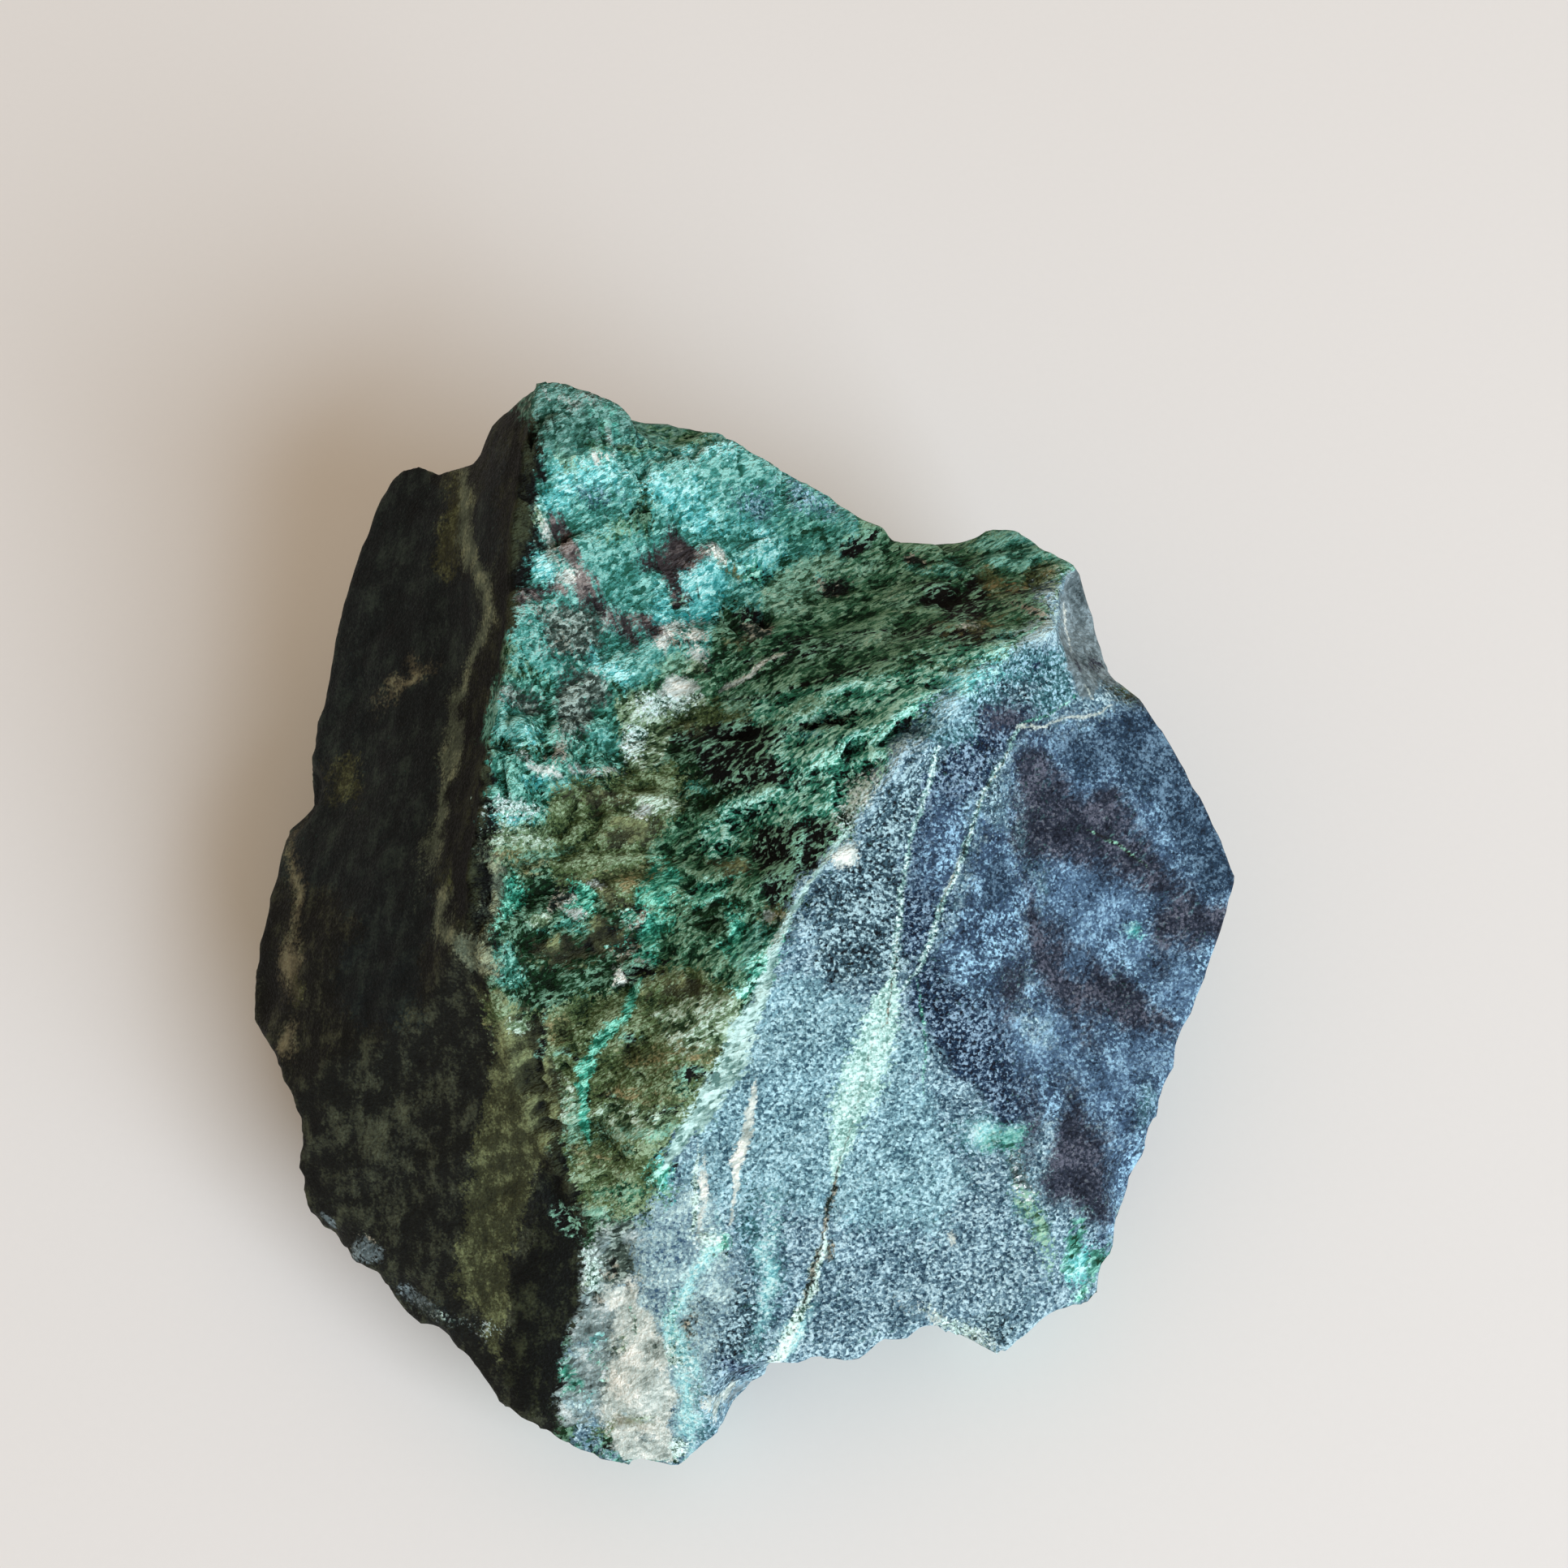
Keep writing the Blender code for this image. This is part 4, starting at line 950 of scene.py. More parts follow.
turquoise: -0.6 20.6 0.76 0.92, -7.9 11.3 1.6 0.35 4
emerald: -0.7 18.7 0.61 1.3 10, -9.7 12.9 0.98 0.14 -8, -6.3 11.3 0.49 0.49, -1.6 5.3 1.48 0.67
olive: -1.7 14.4 1.84 0.46 5, -4.3 11.6 1.27 0.56, -11.1 1.5 0.74 0.82 -30
teal: 12.7 22.4 2.01 0.85 -12, 1.7 21.7 0.78 0.31 20, 0.4 4.3 0.8 1.09 -35, -7.6 -15.9 0.3 0.97,
-4.3 -19.6 1.5 0.11 -4
shell: -4.6 -8.6 0.36 0.29, -6.9 -15.5 0.53 0.68
sea_green: -1.8 6.3 0.6 0.19 30, -10.3 6.1 0.29 0.92 -15, -0.3 4.8 0.59 0.22 -60,
-0.8 4.1 0.26 0.11 -20, -4.5 3.5 0.44 0.3 -30
cream: -2.6 19 0.45 0.15, -7.8 5.8 0.18 0.11, 1.1 5.4 0.22 0.18, -5.2 -16.2 1.13 0.75 20
moss: 0.2 17.9 0.34 0.27, -6.3 10.6 0.85 0.28, -4.8 -17.2 0.6 0.09 20, -5.6 -17.7 0.37 0.09 40
rust: -5.3 7.1 1.09 0.29 10, -11.5 0.7 0.38 0.53, -8.1 0.2 0.57 0.85, -6.1 -18.1 0.3 0.3
sage: 14.4 20.4 0.4 0.97, -4.3 10.4 1.11 0.63, -10.1 0.7 0.33 0.47, -7 -11.3 0.3 0.37
emerald: -2.5 10.8 0.83 0.75
teal: -2.4 11.1 0.53 0.3
aqua: 10.1 16.3 1.11 0.3 8, -9.2 11.5 0.44 0.27, -6.4 -13.9 0.3 0.22
steel: 14.3 20.1 0.59 0.75, 13.3 0 1.19 0.63 -40, 17.9 -6.8 0.69 1.46 -12
blue: 9 8.6 0.9 1.72 -25, 17.9 -6.8 0.92 1.54 -16
navy: 9.4 10.6 0.76 0.83
umber: 9.4 18.3 1.86 0.52 5, 7.8 15.6 0.58 0.22 30, -7 -11.7 0.3 0.18 20
forest: 6.9 17.3 4.04 0.51 10
jade: 6.9 18.1 1.3 0.27 12
steel: 13.9 18.1 1 0.75 10
violet: 13.6 18.5 1.15 0.46 30, 12.9 17.9 0.76 0.34 20, -7.5 -17.5 0.6 0.52
umber: 10.5 17.8 1.1 0.29 20
mint: 9.9 17.5 1.24 0.36 5, 1 3.8 0.72 0.29 45
aqua: 11.6 17.6 0.59 0.29 50
cream: -4.6 10 0.37 0.29
moss: -4.9 9.2 0.87 0.66, -6 6.4 1.1 0.37 -10
sea_green: -3.8 6.7 0.51 0.81 -20, -7.1 5.8 0.43 0.79 -10
cream: -6.3 6.6 0.26 0.22, -7.4 5.1 0.18 0.14
soot: -8.2 12.8 0.3 0.44, -4.7 5.5 0.66 0.58 40
mint: -5 5.6 0.33 0.29 40
sea_green: -4.2 4.6 0.48 0.96 -25
""")
print(sum(len(spots) for _, spots in PATCHES), "spots in", len(PATCHES), "groups")

# %% Veins that run up the stone, and bands that run across it: (a, b, half-width) along each
VEINS = table("""
vein_left vein: 9 13.6 0, 8.8 12.8 0.14, 8.3 11.1 0.16, 7.5 8.6 0.14, 7.1 6 0.16, 6.9 3.8 0.18,
6.8 2.6 0.22, 6.7 1.8 0.14, 6.6 1.3 0
wide_vein seam: 6.8 2.9 0, 6.7 2.2 0.43, 6.4 1.3 0.76, 6.2 0.3 0.94, 5.7 -1.3 1.01, 5.1 -2.8 1.08,
4.7 -4 0.83, 4.5 -5 0.5, 4.3 -5.7 0.32, 4.2 -6.6 0.18, 4 -6.9 0
crust_left crust: 3.9 -8.3 0, 3.7 -9.4 0.18, 3.4 -10.3 0.25, 3.1 -11.7 0.29, 2.6 -12.5 0.32,
2.1 -13.7 0.32, 1.5 -14.8 0.29, 1.2 -15.3 0
crack_left soot: 7 4.6 0, 6.9 3.3 0.05, 6.5 0.6 0.06, 6 0 0.01, 5.4 -2.4 0.01, 4.3 -6.1 0.04,
4.2 -6.9 0.16, 3.9 -7.9 0.15, 3.7 -8.8 0.14, 3.6 -9.4 0.05, 3.4 -10.1 0.13, 3.1 -11.2 0.17,
2.8 -12 0.11, 2.4 -12.8 0
vein_right vein: 12.8 14.2 0.07, 12.3 13.4 0.12, 12.2 12.8 0.13, 11.5 11.8 0.14, 10.9 10.8 0.14,
10.4 9.5 0.15, 10.1 8.3 0.15, 9.7 7.3 0.15, 9 5.9 0.17, 8.5 4.2 0.16, 8.1 3.1 0.11, 7.4 2.3 0.07,
7 1.6 0
vein_right_core soot: 12.3 13.6 0, 12.1 12.6 0.03, 10.8 10.6 0.03, 10 8.2 0.04, 9 6 0.03, 8.7 4.6 0
chip_edge cream: 15.2 20.3 0, 15.2 19.6 0.06, 15.2 18.6 0.06, 15.4 17.9 0.02, 15.4 17.1 0
chip_foot cream: 15.6 16.2 0, 16.1 15.7 0.06, 16.3 15.2 0.06, 16.5 15 0
vein_cream cream: 0.6 -1.7 0, 0.5 -2.7 0.18, 0.3 -3.9 0.25, 0.1 -4.9 0.32, -0.2 -5.6 0.25,
-0.3 -6.9 0.11, -0.4 -8.2 0.07, -0.7 -8.8 0
vein_faint crust: -1.9 -4.4 0, -2.1 -6.3 0.14, -2 -7.4 0.18, -2.1 -8.5 0.11, -2.3 -9.2 0
crest_crust frost: 5.3 10.1 0, 4.2 8.6 0.11, 3.2 7.1 0.14, 2.2 5.5 0.18, 1.5 4.4 0.22, 1.2 3 0.29,
0.7 1.6 0.43, 0.1 0.6 0.58, -0.3 -0.8 0.65, -1 -2.1 0.68, -1.8 -3.4 0.58, -2.7 -4.5 0.4, -3.3 -5.4 0.25,
-3.7 -6.2 0
floor_vein sea_green: -4.4 2.9 0, -4.7 2.2 0.18, -5 1.3 0.29, -5.2 0.9 0.14, -5.7 0.6 0.32,
-6.3 -0.2 0.36, -6.7 -0.8 0.18, -7 -1.2 0.36, -7.1 -2.2 0.29, -7.1 -2.7 0.14, -7 -3 0.29, -7 -3.9 0.25,
-6.8 -4.5 0.11, -6.6 -4.9 0
thin_vein_low mint: 7.9 2.6 0, 8.2 1 0.06, 8.3 -0.6 0.06, 8.2 -2.1 0.04, 8.3 -3.2 0
""")
BANDS = table("""
vein_right_top cream: 12.3 13.7 0, 12.6 14 0.11, 13.8 13.9 0.08, 14.8 14.4 0.08, 15.5 14.5 0.09,
16 14.5 0.08, 16.8 14.7 0.08, 17 14.9 0.05, 17.5 15 0
vein_corner mint: 12.4 14 0, 13.5 14.3 0.06, 14.2 14.6 0.06, 15.2 15.2 0.05, 15.8 15.7 0
mint_line_top mint: 9.7 16.2 0, 10.4 16.6 0.11, 11.3 17.1 0.11, 12.1 17.6 0.09, 12.8 18.1 0.11,
13.8 18.7 0.07, 14.2 19 0
crack_right umber: 15.7 9.4 0, 16.5 9 0.06, 17.7 8.4 0.09, 18.3 7.9 0.09, 18.8 7.6 0.06, 19.5 7.1 0
top_ledge_gap umber: -1.3 13.6 0.14, -0.5 13.7 0.36, 1.7 13.8 0.18, 3.9 14 0.25, 5 14.5 0.14, 5.7 14.9 0
top_ledge_line umber: -1.7 15.2 0, 0.6 15.3 0.11, 3.2 16 0.11, 6.9 17.1 0.11, 9.9 17.5 0
cream_crust_line cream: -1.3 15.5 0, -0.9 15.8 0.13, -0.4 16 0.18, 0.4 16.5 0.13, 1.2 17.1 0.11,
1.7 17.3 0.09, 2.3 17.5 0
speck_line mint: 4.3 11.7 0, 5.3 12.8 0.07, 6.2 13.7 0.07, 7.2 14.4 0
""")
print(len(VEINS), "veins and", len(BANDS), "bands")

# %% Distances inside zones and patches
MINERAL_NAMES = sorted({name for _, name, _ in ZONES} | {name for name, _ in PATCHES})
# Length and height of the noises that move the edges, and of the one on the walls.
WANDER = ((2.4, 0.50), (1.0, 0.36), (0.5, 0.18))
WALL_WANDER_LENGTH, WALL_WANDER = 4.0, 2.2
OUTSIDE_ALL = 9.0


def wandered_place(points, wall):
    """(a, b) of each point, moved by noise of three lengths, and much further on the walls."""
    a, b = sight_place(points)
    for turn, (length, height) in enumerate(WANDER):
        a = a + height * noise(points / length, 41 + 2 * turn)
        b = b + height * noise(points / length, 42 + 2 * turn)
    a = a + WALL_WANDER * wall * noise(points / WALL_WANDER_LENGTH, 51)
    b = b + WALL_WANDER * wall * noise(points / WALL_WANDER_LENGTH, 52)
    return a, b


def inside_outline(a, b, corners):
    """How far each point lies inside an outline: the distance to its nearest edge, below 0
    outside. A point is inside if a line from it to the right crosses the edges an odd number
    of times."""
    nearest = np.full(len(a), np.inf)
    inside = np.zeros(len(a), dtype=bool)
    for (a0, b0), (a1, b1) in zip(corners, corners[1:] + corners[:1]):
        da, db = a1 - a0, b1 - b0
        share = np.clip(((a - a0) * da + (b - b0) * db) / (da * da + db * db), 0.0, 1.0)
        nearest = np.minimum(nearest, np.hypot(a - a0 - share * da, b - b0 - share * db))
        if db:
            crosses = (b0 > b) != (b1 > b)
            inside ^= crosses & (a < a0 + (b - b0) * da / db)
    return np.where(inside, nearest, -nearest)


def lay_over(inside, mineral, distance):
    """Lays one mineral over the others: it gains the distance, and the others lose it."""
    for name, old in inside.items():
        if name == mineral:
            inside[name] = np.maximum(old, distance)
        else:
            inside[name] = np.minimum(old, -distance)


def inside_spot(a, b, spot):
    """How far each point lies inside an oval: (1 - reach) times its smaller half-size."""
    return (1.0 - patch_reach(a, b, *spot)) * min(spot[2:4])


a, b = wandered_place(points, wall)
inside = {name: np.full(len(points), -OUTSIDE_ALL) for name in MINERAL_NAMES}
# Emerald lies wherever no zone does.
inside["emerald"] += 2 * OUTSIDE_ALL
for _, mineral, corners in ZONES:
    lay_over(inside, mineral, inside_outline(a, b, corners))
for mineral, spots in PATCHES:
    for spot in spots:
        lay_over(inside, mineral, inside_spot(a, b, spot))
print("distances inside", len(inside), "minerals")

# %% [markdown]
# ## The weathered sides
#
# Below the rim nothing was broken lately. The walls and the underside are older: a brown-black
# rind with green and turquoise showing through. Blotches of noise are laid there, each mineral
# in its own size, and fade in below the rim so that no line shows where they begin.

# %% Blotches on the walls and the underside: mineral, length, seed and how rare
BLOTCHES = (
    ("umber", 5.0, 61, 0.12),
    ("teal", 6.5, 62, 0.30),
    ("dark_rock", 3.6, 63, 0.22),
    ("olive", 4.2, 64, 0.38),
    ("mint", 2.2, 65, 0.52),
    ("cream", 1.6, 66, 0.60),
    ("turquoise", 3.2, 67, 0.48),
)
# A blotch has finer noise in it, at the same share in length and strength. Its noise becomes
# millimetres by BLOTCH_SLOPE, and it fades in from BLOTCH_START of the way down the wall, by
# BLOTCH_FADE mm over the whole way.
BLOTCH_FINER, BLOTCH_SLOPE, BLOTCH_START, BLOTCH_FADE = 0.4, 0.5, 0.25, 2.0

for mineral, length, seed, rare in BLOTCHES:
    finer = noise(points / (BLOTCH_FINER * length), seed + 10)
    blotch = noise(points / length, seed) + BLOTCH_FINER * finer
    edge = (blotch - rare) * length * BLOTCH_SLOPE
    lay_over(inside, mineral, np.minimum(edge, (wall - BLOTCH_START) * BLOTCH_FADE))
print(len(BLOTCHES), "kinds of blotch")

# %% Veins and minerals as numbers on the points
VEIN_WANDER, VEIN_WANDER_LENGTH = 0.07, 1.1
VEIN_SHAKE, VEIN_SHAKE_LENGTH = 0.05, 0.45
VEIN_RAGGED, RAGGED_SHARE = 0.03, 0.18
# The slope of a vein is taken this far ahead and behind, and distances are kept up to KEPT.
SLOPE_STEP, KEPT = 0.3, 2.0


def beside_line(along, across, line):
    """How far each point lies beside a vein's line, and the vein's half-width there, which is -1
    beyond its ends. Both are straight blends between the line's corners, and the first is
    narrowed by the line's slope."""
    line = np.array(sorted(line, key=lambda corner: corner[0]))
    middle = np.interp(along, line[:, 0], line[:, 1])
    ahead = np.interp(along + SLOPE_STEP, line[:, 0], line[:, 1])
    behind = np.interp(along - SLOPE_STEP, line[:, 0], line[:, 1])
    slope = (ahead - behind) / (2.0 * SLOPE_STEP)
    half_width = np.interp(along, line[:, 0], line[:, 2], left=-1.0, right=-1.0)
    return (across - middle) / np.hypot(1.0, slope), half_width


def keep(mesh, name, values):
    """Stores one number, or one vector, for each point of the mesh."""
    kind, field = ("FLOAT", "value") if values.ndim == 1 else ("FLOAT_VECTOR", "vector")
    attribute = mesh.attributes.new(name, kind, "POINT")
    attribute.data.foreach_set(field, values.astype(np.float32).ravel())


def vein_numbers(across, half_width):
    """The three numbers kept for a vein: how far beside it, its half-width, which closes on the
    walls, and how ragged it is, which grows with the width."""
    ragged = VEIN_RAGGED + RAGGED_SHARE * np.clip(half_width, 0.0, None)
    return np.column_stack([across, half_width - wall, ragged])


sight_a, sight_b = sight_place(points)
sight_a = sight_a + VEIN_WANDER * noise(points / VEIN_WANDER_LENGTH, 71)
sight_a = sight_a + VEIN_SHAKE * noise(points / VEIN_SHAKE_LENGTH, 72)
sight_b = sight_b + VEIN_WANDER * noise(points / VEIN_WANDER_LENGTH, 73)
for name, _, line in VEINS:
    line = [(y, x, w) for x, y, w in line]
    keep(stone_mesh, name, vein_numbers(*beside_line(sight_b, sight_a, line)))
for name, _, line in BANDS:
    keep(stone_mesh, name, vein_numbers(*beside_line(sight_a, sight_b, line)))
for name, distance in inside.items():
    keep(stone_mesh, "in_" + name, np.clip(distance, -KEPT, KEPT))
print("kept:", len(VEINS) + len(BANDS), "veins and bands,", len(inside), "minerals")

# %% [markdown]
# ## Crests and creases
#
# On every broken rock the crests are rubbed pale. The creases are painted darker: partly dark dirt,
# and partly painted shade, where less light reaches in. How proud a point stands is its height over
# the middle of its neighbours, along the way that it faces. The mesh already holds everything for
# that, so no extra geometry or baking is needed.

# %% How proud each point stands
CREASE_SHADE, PROUD_FULL, PROUD_ROUNDS, LEAST_ROUGH = 0.7, 0.12, 6, 0.25
# Painted light on the low left slab, which faces the window: a, b, half-length, half-width, angle, and
# its strength.
PAINTED_LIGHT_PATCH, PAINTED_LIGHT_STRENGTH = (-17.0, -6.0, 5.0, 3.0, 60), 0.2


def proud(points, faces, rounds):
    """How far each point stands out from its surroundings, in millimetres: its offset from the
    middle of its neighbours, taken over a few rounds, along its outward direction."""
    one = np.ones(len(points))
    around = points
    for _ in range(rounds):
        around = neighbour_middle(around, faces, one)
    corners = points[faces]
    across = np.cross(corners[:, 2] - corners[:, 0], corners[:, 3] - corners[:, 1])
    normals = np.column_stack([
        np.bincount(faces.ravel(), np.repeat(column, 4), len(points)) for column in across.T
    ])
    normals /= np.linalg.norm(normals, axis=1)[:, None]
    return ((points - around) * normals).sum(axis=1)


stands = proud(points, faces, PROUD_ROUNDS)
# Painted light: the low left slab is made lighter where it faces the window.
painted_light = PAINTED_LIGHT_STRENGTH * (1.0 - soft_step(patch_reach(*sight_place(points), *PAINTED_LIGHT_PATCH), 0.0, 1.0))
# Crests are rubbed paler, and the creases get painted shade, scaled by CREASE_SHADE.
rub_and_painted_shade = np.clip(stands / PROUD_FULL, -1.0, 1.0) * np.clip(rough, LEAST_ROUGH, 1.0)
# The tone holds the painted light of the low left slab and the painted shade of the creases, with the
# crests' rubbed paleness.
keep(stone_mesh, "tone", painted_light + rub_and_painted_shade * CREASE_SHADE)
keep(stone_mesh, "rough", rough)
print("stands proud, mm:", stands.min().round(2), stands.max().round(2))

# %% [markdown]
# ## The minerals' colours
#
# Every mineral here is a mixture of grains: dark, middling and light. A single colour would look
# like paint. So each mineral has three tones, and a grain pattern picks between them. The values
# are as a screen shows them, 0 to 255, and are turned into linear light for the shader. Under
# them lies a fill, the middle tone of each point's own mineral, so that no gap shows where two
# frayed edges draw back from each other.

# %% Three tones of each mineral, how far its edge frays and how soft it is in mm, and its grain
MINERALS = {
    "steel": ((28, 53, 69), (100, 130, 143), (186, 212, 218), 0.45, 0.30, "salt"),
    "pale_steel": ((41, 73, 87), (116, 153, 162), (186, 219, 225), 0.60, 0.50, "salt"),
    "slate": ((3, 8, 15), (58, 86, 98), (176, 205, 210), 0.45, 0.35, "salt"),
    "violet": ((53, 80, 102), (141, 169, 174), (209, 232, 227), 0.35, 0.30, "cloud"),
    "navy": ((3, 6, 21), (22, 46, 70), (143, 169, 188), 0.45, 0.40, "salt"),
    "teal_blue": ((12, 47, 57), (65, 111, 115), (163, 200, 214), 0.40, 0.30, "salt"),
    "blue": ((3, 13, 26), (57, 79, 103), (177, 221, 245), 0.45, 0.90, "cloud"),
    "charcoal": ((6, 9, 22), (36, 42, 55), (98, 99, 112), 0.45, 0.60, "cloud"),
    "turquoise": ((28, 82, 66), (70, 142, 131), (143, 200, 187), 0.30, 0.20, "strokes"),
    "aqua": ((36, 127, 125), (109, 195, 191), (195, 245, 239), 0.30, 0.20, "strokes"),
    "teal": ((8, 47, 28), (57, 123, 106), (141, 203, 185), 0.30, 0.18, "strokes"),
    "forest": ((3, 34, 15), (55, 105, 75), (136, 177, 148), 0.30, 0.15, "strokes"),
    "emerald": ((3, 20, 3), (18, 53, 26), (112, 152, 126), 0.30, 0.15, "strokes"),
    "olive": ((14, 34, 13), (80, 97, 58), (147, 169, 134), 0.30, 0.15, "cloud"),
    "moss": ((11, 13, 11), (58, 61, 40), (142, 151, 106), 0.35, 0.25, "streaks"),
    "sage": ((30, 52, 28), (117, 142, 106), (203, 225, 205), 0.25, 0.15, "strokes"),
    "jade": ((44, 75, 50), (122, 171, 146), (162, 194, 168), 0.25, 0.18, "strokes"),
    "mauve": ((18, 33, 30), (98, 116, 116), (241, 245, 245), 0.25, 0.15, "strokes"),
    "umber": ((5, 4, 3), (12, 12, 9), (138, 190, 164), 0.22, 0.12, "strokes"),
    "soot": ((3, 5, 3), (31, 45, 36), (164, 158, 141), 0.25, 0.12, "strokes"),
    "mint": ((0, 8, 3), (64, 150, 124), (196, 252, 234), 0.22, 0.12, "strokes"),
    "sea_green": ((18, 88, 66), (72, 168, 142), (156, 236, 210), 0.22, 0.12, "strokes"),
    "cap": ((20, 61, 47), (63, 111, 98), (120, 163, 151), 0.35, 0.30, "strokes"),
    "plum": ((19, 16, 17), (60, 53, 53), (150, 138, 132), 0.20, 0.15, "lumps"),
    "frost": ((84, 118, 110), (158, 188, 179), (202, 229, 221), 0.20, 0.12, "strokes"),
    "pale_aqua": ((98, 166, 172), (171, 225, 224), (213, 236, 226), 0.15, 0.40, "salt"),
    "sky": ((17, 32, 51), (75, 101, 126), (147, 182, 203), 0.45, 0.90, "cloud"),
    "deep_blue": ((9, 20, 32), (35, 56, 76), (107, 134, 154), 0.45, 0.60, "cloud"),
    "glass_grey": ((28, 42, 45), (102, 116, 119), (161, 179, 185), 0.12, 0.10, "lumps"),
    "ash": ((29, 40, 34), (72, 87, 78), (162, 179, 168), 0.25, 0.20, "strokes"),
    "shell": ((44, 54, 50), (132, 150, 148), (228, 236, 232), 0.25, 0.25, "lumps"),
    "seam": ((102, 142, 133), (168, 207, 198), (217, 244, 237), 0.15, 0.12, "salt"),
    "vein": ((20, 47, 49), (123, 164, 160), (222, 240, 240), 0.20, 0.12, "salt"),
    "crust": ((38, 71, 57), (202, 228, 216), (232, 245, 245), 0.25, 0.18, "salt"),
    "rust": ((25, 32, 12), (83, 94, 59), (150, 138, 98), 0.25, 0.22, "cloud"),
    "cream": ((84, 98, 90), (188, 197, 188), (250, 248, 236), 0.18, 0.12, "lumps"),
    "dark_rock": ((3, 3, 3), (21, 23, 19), (81, 86, 67), 0.30, 0.20, "streaks"),
    "slate_dark": ((4, 6, 7), (20, 27, 29), (56, 68, 61), 0.50, 0.50, "streaks"),
    "black": ((3, 3, 3), (8, 11, 7), (58, 63, 43), 0.30, 0.20, "streaks"),
    "drab": ((25, 31, 22), (95, 106, 89), (175, 182, 147), 0.30, 0.30, "streaks"),
    "stain": ((47, 44, 37), (123, 118, 94), (165, 170, 138), 0.20, 0.45, "streaks"),
}
# Minerals are laid in the table's order, so a later one covers an earlier one's frayed edge.
# Each edge is moved out by EDGE_LAP, so that neighbours overlap.
EDGE_LAP = 0.05


def linear(screen):
    """A screen colour, 0 to 255, as linear light, by the usual curve of displays."""
    share = np.array(screen) / 255.0
    light = np.where(share <= 0.04045, share / 12.92, ((share + 0.055) / 1.055) ** 2.4)
    return (*light.tolist(), 1.0)


middles = np.array([linear(MINERALS[name][1])[:3] for name in inside])
winner = np.argmax(np.stack(list(inside.values())), axis=0)
keep(stone_mesh, "fill", middles[winner])
print(len(MINERALS), "minerals with colours;", len(np.unique(winner)), "of them on the stone")

# %% [markdown]
# ## Small shader groups
#
# The same few effects come back for every mineral: a frayed edge, a thin line, a grain and three
# tones picked by it. Each is built once as a node group with named sockets, and placed many
# times with its own values. Groups put out only colours, masks and grains, and the shader
# itself stays outside.


# %% Building groups
def new_group(name, inputs, outputs):
    """An empty node group with named sockets, and its input and output nodes. Sockets are given
    as names split by commas, and hold a number unless a kind follows the name and a colon."""
    tree = bpy.data.node_groups.new(name, "ShaderNodeTree")
    for in_out, sockets in (("INPUT", inputs), ("OUTPUT", outputs)):
        for socket in sockets.split(", "):
            label, _, kind = socket.partition(":")
            tree.interface.new_socket(
                label, in_out=in_out, socket_type="NodeSocket" + (kind or "Float")
            )
    given, out = tree.nodes.new("NodeGroupInput"), tree.nodes.new("NodeGroupOutput")
    return tree, given.outputs, out.inputs


def plug(tree, socket, value):
    """Links a socket to another, or sets its number or colour."""
    if isinstance(value, bpy.types.NodeSocket):
        tree.links.new(value, socket)
    else:
        socket.default_value = value


def add_node(tree, kind, settings=None, **values):
    """Adds a shader node with its settings and plugs values into its named inputs, where a space
    is written as an underscore; gives its outputs."""
    node = tree.nodes.new("ShaderNode" + kind)
    for name, value in (settings or {}).items():
        setattr(node, name, value)
    for name, value in values.items():
        plug(tree, node.inputs[name.replace("_", " ")], value)
    return node.outputs


def math_node(tree, operation, *values, clamp=False, kind="Math"):
    """A Math node with its values plugged in by order; gives its result socket."""
    node = tree.nodes.new("ShaderNode" + kind)
    node.operation = operation
    if clamp:
        node.use_clamp = True
    for socket, value in zip(node.inputs, values):
        plug(tree, socket, value)
    return node.outputs[0]


def vector_node(tree, operation, *values):
    """The same for a Vector Math node."""
    return math_node(tree, operation, *values, kind="VectorMath")


def soft_step_node(tree, value, start, end):
    """A Map Range node that goes smoothly from 0 at the start to 1 at the end."""
    return add_node(tree, "MapRange", {"interpolation_type": "SMOOTHSTEP"},
                    Value=value, From_Min=start, From_Max=end)["Result"]


def mix_colors(tree, mask, under, over):
    """A Mix node for colours; gives its result socket."""
    return add_node(tree, "Mix", {"data_type": "RGBA"}, Factor=mask, A=under, B=over)["Result"]


def parts(tree, kind, value):
    """The three parts of a vector, of kind XYZ, or of a colour."""
    node = tree.nodes.new("ShaderNodeSeparate" + kind)
    plug(tree, node.inputs[0], value)
    return node.outputs


print("helpers for building groups are ready")

# %% Frayed edge, thin line, three tones
# A vein starts LINE_START outside its width. It is solid from LINE_SOLID inside, and from further
# in where it is ragged.
LINE_START, LINE_SOLID, LINE_FRAY = -0.04, 0.05, 0.9


def frayed_edge_group():
    """Mask of a mineral: its distance inside, frayed by a wandering value, softly stepped at 0."""
    tree, given, out = new_group("frayed_edge", "Inside, Wander, Reach, Softness", "Mask")
    moved = math_node(tree, "MULTIPLY_ADD", given["Wander"], given["Reach"], given["Inside"])
    lapped = math_node(tree, "ADD", moved, EDGE_LAP)
    start = math_node(tree, "MULTIPLY", given["Softness"], -1.0)
    plug(tree, out["Mask"], soft_step_node(tree, lapped, start, given["Softness"]))
    return tree


def thin_line_group():
    """Mask of a vein: its half-width less the frayed distance beside its line, softly stepped."""
    tree, given, out = new_group("thin_line", "Vein:Vector, Wander, Gaps", "Mask")
    beside, width, ragged = parts(tree, "XYZ", given["Vein"])
    moved = math_node(tree, "MULTIPLY_ADD", given["Wander"], ragged, beside)
    frayed = math_node(tree, "MULTIPLY_ADD", given["Gaps"], ragged, width)
    left = math_node(tree, "SUBTRACT", frayed, math_node(tree, "ABSOLUTE", moved))
    end = math_node(tree, "MULTIPLY_ADD", ragged, LINE_FRAY, LINE_SOLID)
    plug(tree, out["Mask"], soft_step_node(tree, left, LINE_START, end))
    return tree


